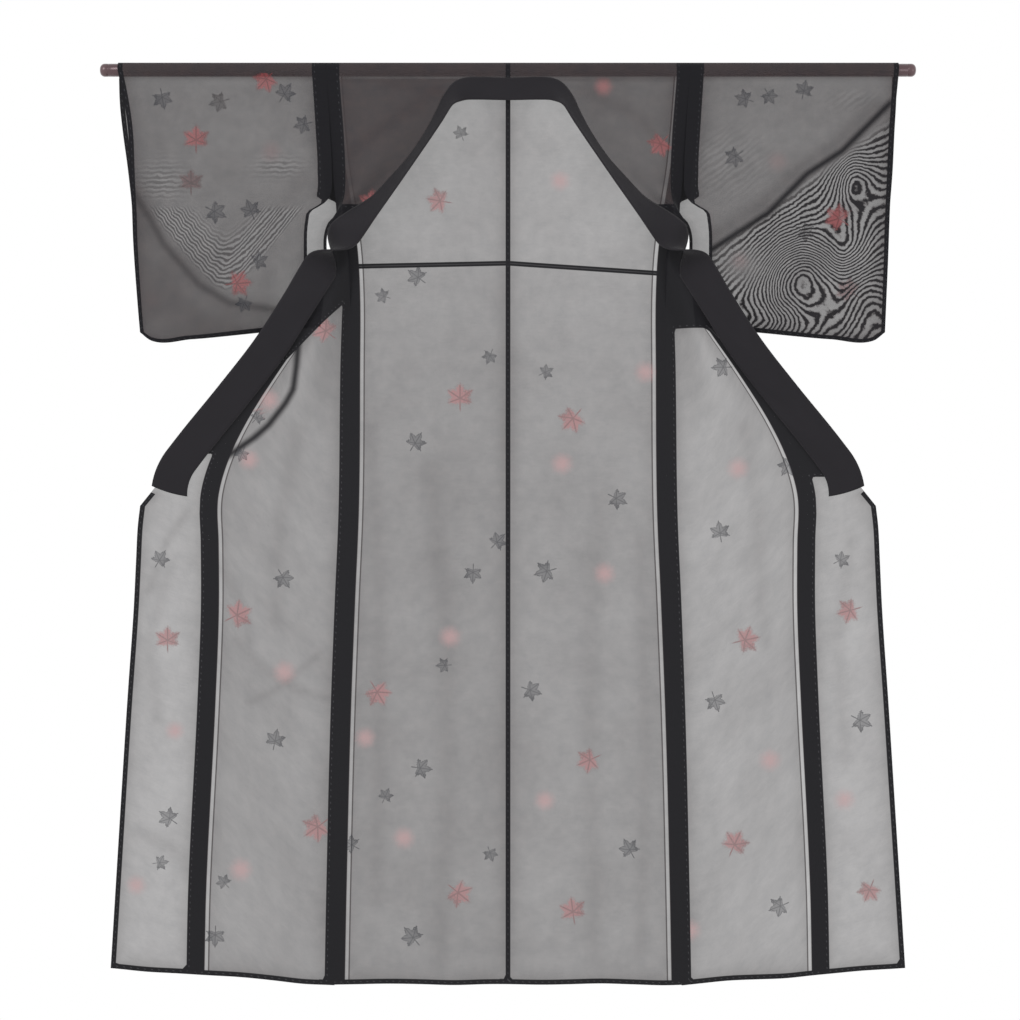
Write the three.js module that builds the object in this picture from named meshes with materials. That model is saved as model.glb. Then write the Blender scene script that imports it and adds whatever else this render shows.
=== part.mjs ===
// An unlined summer kimono of sheer gauze. It hangs on a straight rod that runs through both
// sleeves, with its fronts drawn out to the sides. Units are millimetres. X runs to the right as
// seen from the front, Y to the back and Z up, and the origin is the middle of the rod.
import * as THREE from 'three';

// Rod
const rodRadius = 11;
const rodHalfLength = 691;
const rodTipRadius = 7;
const rodTipLength = 8;
const rodFacets = 20;

// Cloth
const clothWall = 1.2;
const collarWall = 2.2;
const allowanceStep = 0.8;
const seamGap = 0.8;
const okumiBehindCollar = collarWall / 2 + (clothWall + allowanceStep) / 2 + 0.5;
const rodClearance = 1.1;
const drapeRadius = rodRadius + rodClearance + clothWall / 2;

// Seam allowances, which lie folded on the panels' edges as raised bands
const sideAllowance = 17;
const frontSeamAllowance = 12;
const centreAllowance = 4;
const hemAllowance = 9;
const bandRamp = 2;

// Collar: a doubled band, level at the neck, then straight down to its end on each side
const collarCornerX = 96;
const collarLevelZ = -33.5;
const collarFall = 0.94;
const collarCornerRadius = 60;
const collarStraight = 745;
const collarEndRadius = 100;
const collarEndTurn = 0.6;
const collarEndSkew = 8;
const collarEndSkewLength = 60;
const twistStart = 360;
const twistEnd = 515;

// Sleeves
const armholeEndZ = -165;
const cuffOpeningDepth = 230;
const closedEdgeHalfDepth = 1.1;
const sleeveFoldHalfDepth = 3;

// The soft vertical folds start below the collar's ends
const foldTopZ = -740;
const foldFullZ = -1300;

// Tables. Distances named out are measured outward from the centre, the same on both sides.
const sideEdge = [
  { z: 0, out: 308, y: drapeRadius },
  { z: -100, out: 300, y: 12.2 },
  { z: -165, out: 293, y: 11.6 },
  { z: -240, out: 281, y: 9 },
  { z: -310, out: 272, y: 5 },
  { z: -385, out: 268, y: 1 },
  { z: -500, out: 268, y: 0 },
  { z: -740, out: 270, y: 0 },
  { z: -910, out: 277, y: 0 },
  { z: -1100, out: 284, y: 0 },
  { z: -1390, out: 291, y: 0 },
  { z: -1550, out: 294, y: 0 },
];
const okumiSeam = [
  { z: -404, out: 328, y: -32 },
  { z: -457, out: 361, y: -27.5 },
  { z: -503, out: 395, y: -23.5 },
  { z: -566, out: 438, y: -18.5 },
  { z: -600, out: 459, y: -16 },
  { z: -640, out: 480, y: -13 },
  { z: -690, out: 499, y: -10.5 },
  { z: -728, out: 507, y: -9.5 },
  { z: -800, out: 506, y: -7 },
  { z: -911, out: 506, y: -4 },
  { z: -1067, out: 512, y: -2 },
  { z: -1390, out: 528, y: 0 },
  { z: -1532, out: 531, y: 0 },
];
const frontEdge = [
  { z: -738, out: 622, y: -10 },
  { z: -772, out: 626, y: -9.5 },
  { z: -830, out: 629, y: -8.5 },
  { z: -911, out: 633, y: -7 },
  { z: -1067, out: 644, y: -4 },
  { z: -1300, out: 659, y: -2 },
  { z: -1521, out: 673, y: 0 },
];
// Collar at distance p: its width, how far its middle stands to the back, how far its middle lies
// from the line towards the free edge, and how far the free edge leans forward before the half turn
const collarBand = [
  { p: 0, width: 38, y: -13.7, aside: 0, lean: 0 },
  { p: 75, width: 38, y: -16.3, aside: 0.1, lean: 0.12 },
  { p: 105, width: 36, y: -26.9, aside: 6.3, lean: 0.75 },
  { p: 150, width: 34, y: -30.3, aside: 13.3, lean: 1 },
  { p: 226, width: 34, y: -36.3, aside: 17.7, lean: 1.09 },
  { p: 275, width: 38, y: -40.8, aside: 16.4, lean: 0.96 },
  { p: 320, width: 46, y: -47.5, aside: 14.3, lean: 0.88 },
  { p: 360, width: 56, y: -48.5, aside: 7.1, lean: 0.6 },
  { p: 395, width: 60.5, y: -44.5, aside: 1.7, lean: 0.3 },
  { p: 437, width: 62, y: -38.5, aside: 1, lean: 0.3 },
  { p: 484, width: 60, y: -38, aside: 3, lean: 0.3 },
  { p: 533, width: 58, y: -36.5, aside: 7, lean: 0.3 },
  { p: 627, width: 58, y: -30.5, aside: 12, lean: 0.3 },
  { p: 727, width: 58, y: -23.5, aside: 8.5, lean: 0.3 },
  { p: 823, width: 58.5, y: -17, aside: 3, lean: 0.3 },
  { p: 872, width: 59, y: -14.4, aside: 1.5, lean: 0.3 },
  { p: 935, width: 61, y: -13, aside: 0, lean: 0.3 },
];
// Fronts, from the neck down to the top of the okumi. p is where the row's inner end meets the
// collar, out, y and z are its outer end, and bow moves the middle of the row.
const upperFront = [
  { p: 65, out: 308, y: -12.8, z: -12.6, bowOut: 0, bowY: 0 },
  { p: 95, out: 306.4, y: -13, z: -35, bowOut: 0, bowY: -1 },
  { p: 125, out: 304, y: -13, z: -64, bowOut: 0, bowY: -3 },
  { p: 160, out: 301, y: -13, z: -100, bowOut: 0, bowY: -7 },
  { p: 200, out: 298.6, y: -13, z: -136, bowOut: 0, bowY: -11 },
  { p: 270, out: 295.5, y: -13, z: -182, bowOut: 0, bowY: -15 },
  { p: 335, out: 291, y: -13, z: -226, bowOut: 6, bowY: -14 },
  { p: 385, out: 287, y: -10, z: -262, bowOut: 11, bowY: -5 },
  { p: 430, out: 278, y: -8, z: -298, bowOut: 4, bowY: 3 },
  { p: 475, out: 273, y: -5, z: -340, bowOut: 0, bowY: -3 },
  { p: 515, out: 270, y: -3, z: -388, bowOut: 0, bowY: -12 },
];
// Fronts below that: heights of the two ends of each row, on the side seam and the okumi seam
const lowerFront = [
  { side: -402, okumi: -410, bowOut: 0, bowY: -17 },
  { side: -430, okumi: -457, bowOut: 0, bowY: -24 },
  { side: -478, okumi: -503, bowOut: 0, bowY: -30 },
  { side: -543, okumi: -566, bowOut: 0, bowY: -30 },
  { side: -582, okumi: -600, bowOut: 0, bowY: -24 },
  { side: -630, okumi: -640, bowOut: 0, bowY: -16 },
  { side: -688, okumi: -690, bowOut: 0, bowY: -9 },
  { side: -734, okumi: -728, bowOut: 0, bowY: -5 },
  { side: -764, okumi: -752, bowOut: 0, bowY: -3 },
  { side: -800, okumi: -785, bowOut: 0, bowY: -1 },
  { side: -862, okumi: -845, bowOut: 0, bowY: 0 },
  { side: -960, okumi: -945, bowOut: 0, bowY: 0 },
  { side: -1080, okumi: -1065, bowOut: 0, bowY: 0 },
  { side: -1200, okumi: -1185, bowOut: 0, bowY: 0 },
  { side: -1320, okumi: -1303, bowOut: 0, bowY: 0 },
  { side: -1440, okumi: -1422, bowOut: 0, bowY: 0 },
  { side: -1541, okumi: -1521, bowOut: 0, bowY: 0 },
  { side: -1543, okumi: -1523, bowOut: 0, bowY: 0 },
  { side: -1550, okumi: -1532, bowOut: 0, bowY: 0 },
];
const backHeights = [
  -1549, -1542, -1540, -1440, -1320, -1200, -1080, -960, -850, -740, -620, -500, -385, -310,
  -240, -165, -100, -45, -12,
];
// Okumi: heights on its seam. Its other edge lies behind the collar at first, at place p and across,
// and then runs down the front.
const okumiOnCollar = [
  { seam: -410, p: 543, across: -0.75 },
  { seam: -457, p: 600, across: -0.55 },
  { seam: -503, p: 657, across: -0.5 },
  { seam: -566, p: 735, across: -0.45 },
  { seam: -600, p: 780, across: -0.4 },
  { seam: -640, p: 832, across: -0.3 },
  { seam: -690, p: 888, across: 0.1 },
  { seam: -728, p: 926, across: 0.8 },
];
const okumiOnFront = [
  { seam: -752, front: -738 },
  { seam: -785, front: -772 },
  { seam: -845, front: -838 },
  { seam: -960, front: -953 },
  { seam: -1080, front: -1072 },
  { seam: -1200, front: -1191 },
  { seam: -1320, front: -1310 },
  { seam: -1430, front: -1420 },
  { seam: -1521, front: -1510 },
  { seam: -1523, front: -1512 },
  { seam: -1532, front: -1521 },
];
// Sleeve outline: how far out the inner and the outer edge of each layer lie
const sleeveInner = [
  { z: 0, front: 309, back: 309 },
  { z: -100, front: 302.4, back: 301.4 },
  { z: -165, front: 298, back: 294.4 },
  { z: -215, front: 318, back: 301 },
  { z: -255, front: 340, back: 305 },
  { z: -330, front: 346, back: 308 },
  { z: -436, front: 350, back: 318 },
];
const sleeveOuter = {
  right: [
    { z: 0, front: 660, back: 661 },
    { z: -55, front: 649, back: 659 },
    { z: -100, front: 643, back: 654 },
    { z: -170, front: 640, back: 644 },
    { z: -235, front: 637, back: 637 },
    { z: -290, front: 635, back: 635 },
    { z: -390, front: 628, back: 628 },
    { z: -460, front: 622, back: 622 },
  ],
  left: [
    { z: 0, front: 661, back: 661 },
    { z: -55, front: 656, back: 659 },
    { z: -100, front: 653, back: 656 },
    { z: -170, front: 650, back: 652 },
    { z: -235, front: 647, back: 647 },
    { z: -320, front: 644, back: 644 },
    { z: -390, front: 641, back: 641 },
    { z: -460, front: 638, back: 638 },
  ],
};
const sleeveDepth = [
  { across: 0, depth: 434 },
  { across: 0.35, depth: 445 },
  { across: 0.7, depth: 455 },
  { across: 0.94, depth: 457 },
  { across: 1, depth: 443 },
];
// Large vertical folds across the lower garment: place, half width and how far each stands forward
const hangingFolds = [
  { x: -610, spread: 42, forward: 9 },
  { x: -455, spread: 50, forward: -9 },
  { x: -345, spread: 36, forward: 11 },
  { x: -205, spread: 52, forward: -8 },
  { x: -90, spread: 40, forward: 10 },
  { x: 55, spread: 46, forward: 7 },
  { x: 160, spread: 40, forward: -9 },
  { x: 262, spread: 34, forward: 8 },
  { x: 372, spread: 42, forward: -10 },
  { x: 470, spread: 38, forward: 10 },
  { x: 600, spread: 46, forward: -7 },
];
// Slack folds across one sleeve layer, each from one point to another on the layer
const sleeveFolds = [
  { side: -1, fromOut: 650, fromZ: -150, toOut: 470, toZ: -420, spread: 24, rise: 7 },
  { side: 1, fromOut: 650, fromZ: -60, toOut: 360, toZ: -300, spread: 20, rise: 9 },
  { side: 1, fromOut: 640, fromZ: -210, toOut: 420, toZ: -430, spread: 26, rise: 5 },
];

// Cubic curve through a table's rows. The slope at a row is the mean of the slopes beside it.
function through(rows, key, column) {
  const at = rows.map((row) => row[key]);
  const value = rows.map((row) => row[column]);
  const step = at.slice(1).map((next, i) => (value[i + 1] - value[i]) / (next - at[i]));
  const slope = value.map((_, i) => {
    if (i === 0) return step[0];
    if (i === step.length) return step[i - 1];
    return (step[i - 1] + step[i]) / 2;
  });
  const rising = at[at.length - 1] > at[0];
  return (x) => {
    let i = 0;
    while (i < step.length - 1 && (rising ? x > at[i + 1] : x < at[i + 1])) i += 1;
    const length = at[i + 1] - at[i];
    const t = Math.min(1, Math.max(0, (x - at[i]) / length));
    const t2 = t * t;
    const t3 = t2 * t;
    return (2 * t3 - 3 * t2 + 1) * value[i] + (t3 - 2 * t2 + t) * length * slope[i]
      + (3 * t2 - 2 * t3) * value[i + 1] + (t3 - t2) * length * slope[i + 1];
  };
}

const smooth = (x) => THREE.MathUtils.smoothstep(x, 0, 1);
const mix = THREE.MathUtils.lerp;

const sideOut = through(sideEdge, 'z', 'out');
const sideY = through(sideEdge, 'z', 'y');
const okumiOut = through(okumiSeam, 'z', 'out');
const okumiY = through(okumiSeam, 'z', 'y');
const frontOut = through(frontEdge, 'z', 'out');
const frontY = through(frontEdge, 'z', 'y');
const collarWidth = through(collarBand, 'p', 'width');
const collarY = through(collarBand, 'p', 'y');
const collarAside = through(collarBand, 'p', 'aside');
const collarLean = through(collarBand, 'p', 'lean');
const innerFront = through(sleeveInner, 'z', 'front');
const innerBack = through(sleeveInner, 'z', 'back');
const depthAcross = through(sleeveDepth, 'across', 'depth');

// Moves a point of the lower garment forward by the soft vertical folds.
function hang(point) {
  const share = smooth((foldTopZ - point.z) / (foldTopZ - foldFullZ));
  for (const fold of hangingFolds) {
    point.y -= share * fold.forward * Math.exp(-(((point.x - fold.x) / fold.spread) ** 2));
  }
  return point;
}

// Collar's middle line at distance p from the centre back of the neck, with the in-plane direction
// across the band, pointing from its sewn edge to its free edge before the half turn.
const levelLength = collarCornerX - collarCornerRadius * Math.tan(collarFall / 2);
const cornerLength = collarCornerRadius * collarFall;
const endTurnStart = levelLength + cornerLength + collarStraight;
const collarLength = endTurnStart + collarEndRadius * collarEndTurn;

function collarLine(p) {
  const first = THREE.MathUtils.clamp((p - levelLength) / collarCornerRadius, 0, collarFall);
  const straight = THREE.MathUtils.clamp(p - levelLength - cornerLength, 0, collarStraight);
  const turn = Math.max(0, (p - endTurnStart) / collarEndRadius);
  const down = first + turn;
  const arc = (radius, from, to) => [
    radius * (Math.sin(to) - Math.sin(from)), radius * (Math.cos(to) - Math.cos(from)),
  ];
  const corner = arc(collarCornerRadius, 0, first);
  const end = arc(collarEndRadius, first, down);
  return {
    out: Math.min(p, levelLength) + corner[0] + straight * Math.cos(collarFall) + end[0],
    z: collarLevelZ + corner[1] - straight * Math.sin(collarFall) + end[1],
    acrossOut: -Math.sin(down),
    acrossZ: -Math.cos(down),
  };
}

// Point on the collar: across is -1 on the sewn edge and 1 on the free edge. The band leans forward
// round the neck and makes half a turn between twistStart and twistEnd, its free edge in front.
function collarPoint(side, p, across) {
  const distance = Math.abs(p);
  const slide = collarEndSkew * smooth((distance - collarLength) / collarEndSkewLength + 1);
  const line = collarLine(distance - across * slide);
  const share = smooth((distance - twistStart) / (twistEnd - twistStart));
  const turn = mix(collarLean(distance), Math.PI, share);
  const reach = (across * collarWidth(distance)) / 2;
  const inPlane = collarAside(distance) + reach * Math.cos(turn);
  return new THREE.Vector3(
    side * (line.out + inPlane * line.acrossOut),
    collarY(distance) - reach * Math.sin(turn),
    line.z + inPlane * line.acrossZ,
  );
}

// Places along the collar where it and the panels sewn to it have their rows
const besideUpperFront = [levelLength, 80, 95, 110, 125, 150, 200, 260, 320, twistStart];
for (let p = twistStart + 15.5; p <= twistEnd; p += 15.5) besideUpperFront.push(p);
const besideOkumi = [543, 600, 657, 735, 800, 850, 885, 910, collarLength];

// Where a row that comes from outer ends beside the collar's sewn edge
function besideCollar(side, p, outer) {
  const edge = collarPoint(side, p, -1);
  const across = edge.clone().sub(collarPoint(side, p, 0)).normalize();
  const away = outer.clone().sub(edge).normalize();
  const lean = Math.sqrt(Math.max(0, 1 - across.dot(away) ** 2));
  const turned = (lean * (collarWall + seamGap)) / 2 + 1.3 * lean * lean;
  return edge.addScaledVector(across, seamGap).addScaledVector(away, turned);
}

// Closed wall on both sides of a grid of points, half its thickness each way along the surface's
// own normal, with rims where the surface ends. With ring set, the last row joins the first. kept
// says which cells between rows and columns are there.
function wall(grid, thickness, { ring = false, kept = () => true } = {}) {
  const rows = grid.length;
  const columns = grid[0].length;
  const row = (i) => (ring ? i % rows : i);
  const cells = [];
  const present = new Set();
  for (let i = 0; i < (ring ? rows : rows - 1); i += 1) {
    for (let j = 0; j < columns - 1; j += 1) {
      if (kept(i, j)) {
        cells.push([i, j]);
        present.add(`${i} ${j}`);
      }
    }
  }
  const has = (i, j) => present.has(`${ring ? (i + rows) % rows : i} ${j}`);
  const normals = grid.map((line) => line.map(() => new THREE.Vector3()));
  for (const [i, j] of cells) {
    const corners = [[i, j], [row(i + 1), j], [row(i + 1), j + 1], [i, j + 1]];
    const [a, b, c, d] = corners.map(([r, k]) => grid[r][k]);
    const facing = c.clone().sub(a).cross(d.clone().sub(b)).normalize();
    corners.forEach(([r, k]) => normals[r][k].add(facing));
  }
  const positions = [];
  for (const way of [1, -1]) {
    for (let i = 0; i < rows; i += 1) {
      for (let j = 0; j < columns; j += 1) {
        const normal = normals[i][j].clone().normalize();
        const point = grid[i][j].clone().addScaledVector(normal, (way * thickness(i, j)) / 2);
        positions.push(point.x, point.y, point.z);
      }
    }
  }
  const vertex = (way, i, j) => way * rows * columns + row(i) * columns + j;
  const index = [];
  const quad = (a, b, c, d) => index.push(a, b, c, a, c, d);
  const rim = (i, j, k, l) => quad(vertex(0, i, j), vertex(1, i, j), vertex(1, k, l), vertex(0, k, l));
  for (const [i, j] of cells) {
    quad(vertex(0, i, j), vertex(0, i + 1, j), vertex(0, i + 1, j + 1), vertex(0, i, j + 1));
    quad(vertex(1, i, j), vertex(1, i, j + 1), vertex(1, i + 1, j + 1), vertex(1, i + 1, j));
    if (!has(i, j - 1)) rim(i, j, i + 1, j);
    if (!has(i, j + 1)) rim(i + 1, j + 1, i, j + 1);
    if (!has(i - 1, j)) rim(i, j + 1, i, j);
    if (!has(i + 1, j)) rim(i + 1, j, i + 1, j + 1);
  }
  const geometry = new THREE.BufferGeometry();
  geometry.setAttribute('position', new THREE.Float32BufferAttribute(positions, 3));
  geometry.setIndex(index);
  return facingOut(geometry);
}

// Turns every face of a closed geometry over if its volume comes out negative.
function facingOut(geometry) {
  const at = geometry.getAttribute('position');
  const index = geometry.getIndex().array;
  const [a, b, c] = [new THREE.Vector3(), new THREE.Vector3(), new THREE.Vector3()];
  let volume = 0;
  for (let i = 0; i < index.length; i += 3) {
    [a, b, c].forEach((corner, k) => corner.fromBufferAttribute(at, index[i + k]));
    volume += a.dot(b.cross(c));
  }
  if (volume < 0) {
    for (let i = 0; i < index.length; i += 3) {
      [index[i + 1], index[i + 2]] = [index[i + 2], index[i + 1]];
    }
  }
  geometry.computeVertexNormals();
  return geometry;
}

// Shares of a row's width where its columns stand, with a step at each allowance's edge
function columnsAcross(width, firstBand, lastBand, plain) {
  const inner = Array.from({ length: plain + 1 }, (_, i) => (
    mix(firstBand + bandRamp, width - lastBand - bandRamp, i / plain)
  ));
  return [0, firstBand, ...inner, width - lastBand, width].map((distance) => distance / width);
}

// Row between two edge points, bowed out and back in the middle.
function rowBetween(side, outer, inner, shares, bowOut = 0, bowY = 0) {
  return shares.map((share) => {
    const point = outer.clone().lerp(inner, share);
    const bow = Math.sin(Math.PI * share) ** 2;
    point.x += side * bow * bowOut;
    point.y += bow * bowY;
    return hang(point);
  });
}

// One body panel, from its back hem up, over the rod and down the front to the front hem. Its last
// columns reach from the side of the neck to the centre seam, and end at the neck in front.
function bodyPanel(side) {
  const centre = side * seamGap * 0.5;
  const shares = columnsAcross(240, sideAllowance, frontSeamAllowance, 5);
  const neckColumns = shares.length;
  const atNeck = side * (levelLength + seamGap);
  const centreColumns = [6, 4, 0].map((distance) => side * distance + centre);
  const wholeRow = (outer) => [
    ...shares.map((share) => outer.clone().setX(mix(outer.x, atNeck, share))),
    ...centreColumns.map((x) => outer.clone().setX(x)),
  ];
  const grid = backHeights.map((level) => {
    const outX = side * (sideOut(level) - seamGap / 2);
    const middleY = mix(6, drapeRadius, smooth(1 + level / 900));
    return wholeRow(new THREE.Vector3(outX, 0, level)).map((point) => {
      point.y = mix(sideY(level), middleY, smooth((outX - point.x) / outX));
      return hang(point);
    });
  });
  const arcSteps = 7;
  for (let i = 0; i <= arcSteps; i += 1) {
    const angle = (Math.PI * i) / arcSteps;
    grid.push(wholeRow(new THREE.Vector3(
      side * (sideOut(0) - seamGap / 2), drapeRadius * Math.cos(angle), drapeRadius * Math.sin(angle),
    )));
  }
  const upper = (column) => through(upperFront, 'p', column);
  const [out, y, z, bowOut, bowY] = ['out', 'y', 'z', 'bowOut', 'bowY'].map(upper);
  const neckRow = grid.length;
  for (const p of besideUpperFront) {
    const outer = new THREE.Vector3(side * (out(p) - seamGap / 2), y(p), z(p));
    if (p === levelLength) {
      grid.push(wholeRow(outer));
    } else {
      const inner = besideCollar(side, p, outer);
      const line = rowBetween(side, outer, inner, shares, bowOut(p), bowY(p));
      grid.push([...line, inner, inner, inner]);
    }
  }
  for (const row of lowerFront) {
    const outer = new THREE.Vector3(side * (sideOut(row.side) + seamGap / 2), sideY(row.side), row.side);
    const inner = new THREE.Vector3(
      side * (okumiOut(row.okumi) - seamGap * 0.65), okumiY(row.okumi), row.okumi,
    );
    const line = rowBetween(side, outer, inner, shares, row.bowOut, row.bowY);
    grid.push([...line, inner, inner, inner]);
  }
  const last = grid.length - 1;
  const thickness = (i, j) => {
    const onHem = i <= 1 || i >= last - 1;
    const onSide = j <= 1;
    const onFrontSeam = i > neckRow && j >= neckColumns - 2;
    const onCentre = j >= neckColumns + 1;
    return clothWall + (onHem || onSide || onFrontSeam || onCentre ? allowanceStep : 0);
  };
  return wall(grid, thickness, { kept: (i, j) => i < neckRow || j < neckColumns - 1 });
}

// Overlap panel, sewn to the collar's lower part and hanging below its end.
function okumiPanel(side) {
  const shares = columnsAcross(140, frontSeamAllowance, hemAllowance, 3);
  const seam = (z) => new THREE.Vector3(side * (okumiOut(z) + seamGap / 2), okumiY(z), z);
  const grid = okumiOnCollar.map((row) => {
    const behind = collarPoint(side, row.p, row.across);
    behind.y += okumiBehindCollar;
    return rowBetween(side, seam(row.seam), behind, shares);
  });
  for (const row of okumiOnFront) {
    const outer = new THREE.Vector3(side * frontOut(row.front), frontY(row.front), row.front);
    grid.push(rowBetween(side, seam(row.seam), outer, shares));
  }
  const onBand = (i, j) => i >= grid.length - 2 || j <= 1 || j >= shares.length - 2;
  return wall(grid, (i, j) => clothWall + (onBand(i, j) ? allowanceStep : 0));
}

// Collar: one band from end to end round the neck.
function collarBandGeometry() {
  const half = [...besideUpperFront, ...besideOkumi];
  const stations = [...half.map((p) => -p).reverse(), 0, ...half];
  const across = [-1, -0.33, 0.33, 1];
  const grid = stations.map((p) => across.map((share) => collarPoint(Math.sign(p) || 1, p, share)));
  return wall(grid, () => collarWall);
}

// How far a sleeve layer stands from the rod's plane, at a share of its width and its depth.
function sleeveHalfDepth(side, layer, out, z, across, down) {
  const belly = drapeRadius + 3 * Math.sin(Math.PI * down);
  const middle = mix(belly, sleeveFoldHalfDepth, smooth((down - 0.86) / 0.14));
  const cuff = mix(drapeRadius, closedEdgeHalfDepth, smooth(-z / cuffOpeningDepth));
  const atEdge = mix(middle, Math.min(middle, cuff), smooth((across - 0.7) / 0.3));
  let rise = 0;
  if (layer < 0) {
    for (const fold of sleeveFolds.filter((f) => f.side === side)) {
      const from = new THREE.Vector2(fold.fromOut, fold.fromZ);
      const along = new THREE.Vector2(fold.toOut, fold.toZ).sub(from);
      const here = new THREE.Vector2(out, z).sub(from);
      const t = THREE.MathUtils.clamp(here.dot(along) / along.lengthSq(), 0, 1);
      const away = here.distanceTo(along.multiplyScalar(t)) / fold.spread;
      rise += fold.rise * Math.sin(Math.PI * t) * Math.exp(-away * away);
    }
  }
  return atEdge + rise;
}

// One sleeve: a flat bag round the rod, open along its inner end and, at the cuff, on its outer end.
function sleeve(side) {
  const shares = [0, 0.07, 0.2, 0.34, 0.48, 0.62, 0.76, 0.88, 0.95, 1];
  const depths = [1, 0.95, 0.86, 0.74, 0.62, 0.5, 0.38, 0.27, 0.15, 0.05];
  const outline = sleeveOuter[side < 0 ? 'right' : 'left'];
  const outerFront = through(outline, 'z', 'front');
  const outerBack = through(outline, 'z', 'back');
  const layerPoint = (layer, down, across) => {
    const z = -depthAcross(across) * down;
    const inner = (layer < 0 ? innerFront : innerBack)(z);
    const out = mix(inner, (layer < 0 ? outerFront : outerBack)(z), across);
    return new THREE.Vector3(
      side * out, layer * sleeveHalfDepth(side, layer, out, z, across, down), z,
    );
  };
  const grid = depths.map((down) => shares.map((across) => layerPoint(-1, down, across)));
  const arcSteps = 7;
  for (let i = 0; i <= arcSteps; i += 1) {
    const angle = Math.PI - (Math.PI * i) / arcSteps;
    grid.push(shares.map((across) => new THREE.Vector3(
      side * mix(innerFront(0), outerBack(0), across),
      drapeRadius * Math.cos(angle),
      drapeRadius * Math.sin(angle),
    )));
  }
  for (const down of [...depths].reverse()) {
    grid.push(shares.map((across) => layerPoint(1, down, across)));
  }
  return wall(grid, () => clothWall, { ring: true });
}

// Rod with small rounded tips, turned about its own axis.
function rod() {
  const profile = [
    new THREE.Vector2(0, -rodHalfLength),
    new THREE.Vector2(rodTipRadius, -rodHalfLength),
    new THREE.Vector2(rodRadius, -rodHalfLength + rodTipLength),
    new THREE.Vector2(rodRadius, rodHalfLength - rodTipLength),
    new THREE.Vector2(rodTipRadius, rodHalfLength),
    new THREE.Vector2(0, rodHalfLength),
  ];
  const geometry = new THREE.LatheGeometry(profile, rodFacets);
  geometry.rotateZ(-Math.PI / 2);
  return geometry;
}

function named(name, geometry, color, roughness, metalness = 0) {
  const material = new THREE.MeshStandardMaterial({ color, roughness, metalness });
  const mesh = new THREE.Mesh(geometry, material);
  mesh.name = name;
  return mesh;
}

const gauze = 0x3a383a;
const doubledGauze = 0x1d1e21;
const lacquer = 0x4a3336;

const kimono = new THREE.Group();
kimono.add(named('rod', rod(), lacquer, 0.3));
for (const [side, word] of [[-1, 'right'], [1, 'left']]) {
  kimono.add(named(`body_${word}`, bodyPanel(side), gauze, 0.8));
  kimono.add(named(`okumi_${word}`, okumiPanel(side), gauze, 0.8));
  kimono.add(named(`sleeve_${word}`, sleeve(side), gauze, 0.8));
}
kimono.add(named('collar', collarBandGeometry(), doubledGauze, 0.75));

export default kimono;
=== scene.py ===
# %% [markdown]
# # A sheer unlined kimono on a rod
# A summer kimono is sewn from one narrow bolt of cloth, cut only straight across: two body
# panels that run from the back hem over the shoulder to the front hem, two overlap panels
# (okumi), two sleeves and one long collar. Here a rod runs through both sleeves and the fronts
# are drawn out to the sides, so that the whole pattern can be seen.
# Each panel becomes one sheet that is worked out as a function of two parameters, because a
# hanging panel keeps its threads nearly straight. A cloth simulation would let the fronts fall
# together, so the folds are written down instead.

import bpy
import numpy as np
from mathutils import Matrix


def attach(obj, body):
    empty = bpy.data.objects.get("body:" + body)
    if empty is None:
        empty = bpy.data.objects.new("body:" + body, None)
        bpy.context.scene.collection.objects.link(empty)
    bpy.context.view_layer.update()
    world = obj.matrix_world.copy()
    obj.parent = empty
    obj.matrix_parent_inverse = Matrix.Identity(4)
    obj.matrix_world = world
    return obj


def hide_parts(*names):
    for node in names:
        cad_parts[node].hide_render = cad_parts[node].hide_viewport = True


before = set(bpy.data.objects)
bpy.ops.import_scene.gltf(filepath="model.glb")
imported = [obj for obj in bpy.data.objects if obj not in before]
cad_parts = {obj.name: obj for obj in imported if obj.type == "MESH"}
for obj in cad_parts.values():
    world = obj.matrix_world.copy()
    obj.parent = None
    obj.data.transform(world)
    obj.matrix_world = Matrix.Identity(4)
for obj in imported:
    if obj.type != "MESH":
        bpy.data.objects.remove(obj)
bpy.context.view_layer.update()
print("solids in the frame:", ", ".join(sorted(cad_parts)))

# %% [markdown]
# ## The garment's measures
# All lengths are in millimetres until a mesh is made. X runs along the rod, Y to the back and Z
# up, with the origin in the middle of the rod. "Out" is a distance from the centre, the same on
# both sides. The measures repeat those of the solid model, so that cloth and solid agree.

# %% Measures in millimetres
MM = 0.001
ROD_RADIUS = 11.0
ROD_HALF = 691.0
DRAPE = 12.7

SIDE_BAND = 17.0
SEAM_BAND = 16.0
OKUMI_BAND = 14.0
CENTRE_BAND = 4.0
HEM = 8.5
FAR = -60.0

CORNER_OUT = 96.0
LEVEL_Z = -33.5
FALL = 0.94
CORNER_RADIUS = 60.0
STRAIGHT = 745.0
END_RADIUS = 100.0
END_TURN = 0.6
END_SKEW = 8.0
END_SKEW_LENGTH = 60.0
TWIST_START = 390.0
TWIST_END = 484.0
UPPER_END = 515.0
COLLAR_WALL = 2.2
CUFF_DEPTH = 230.0

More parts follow.
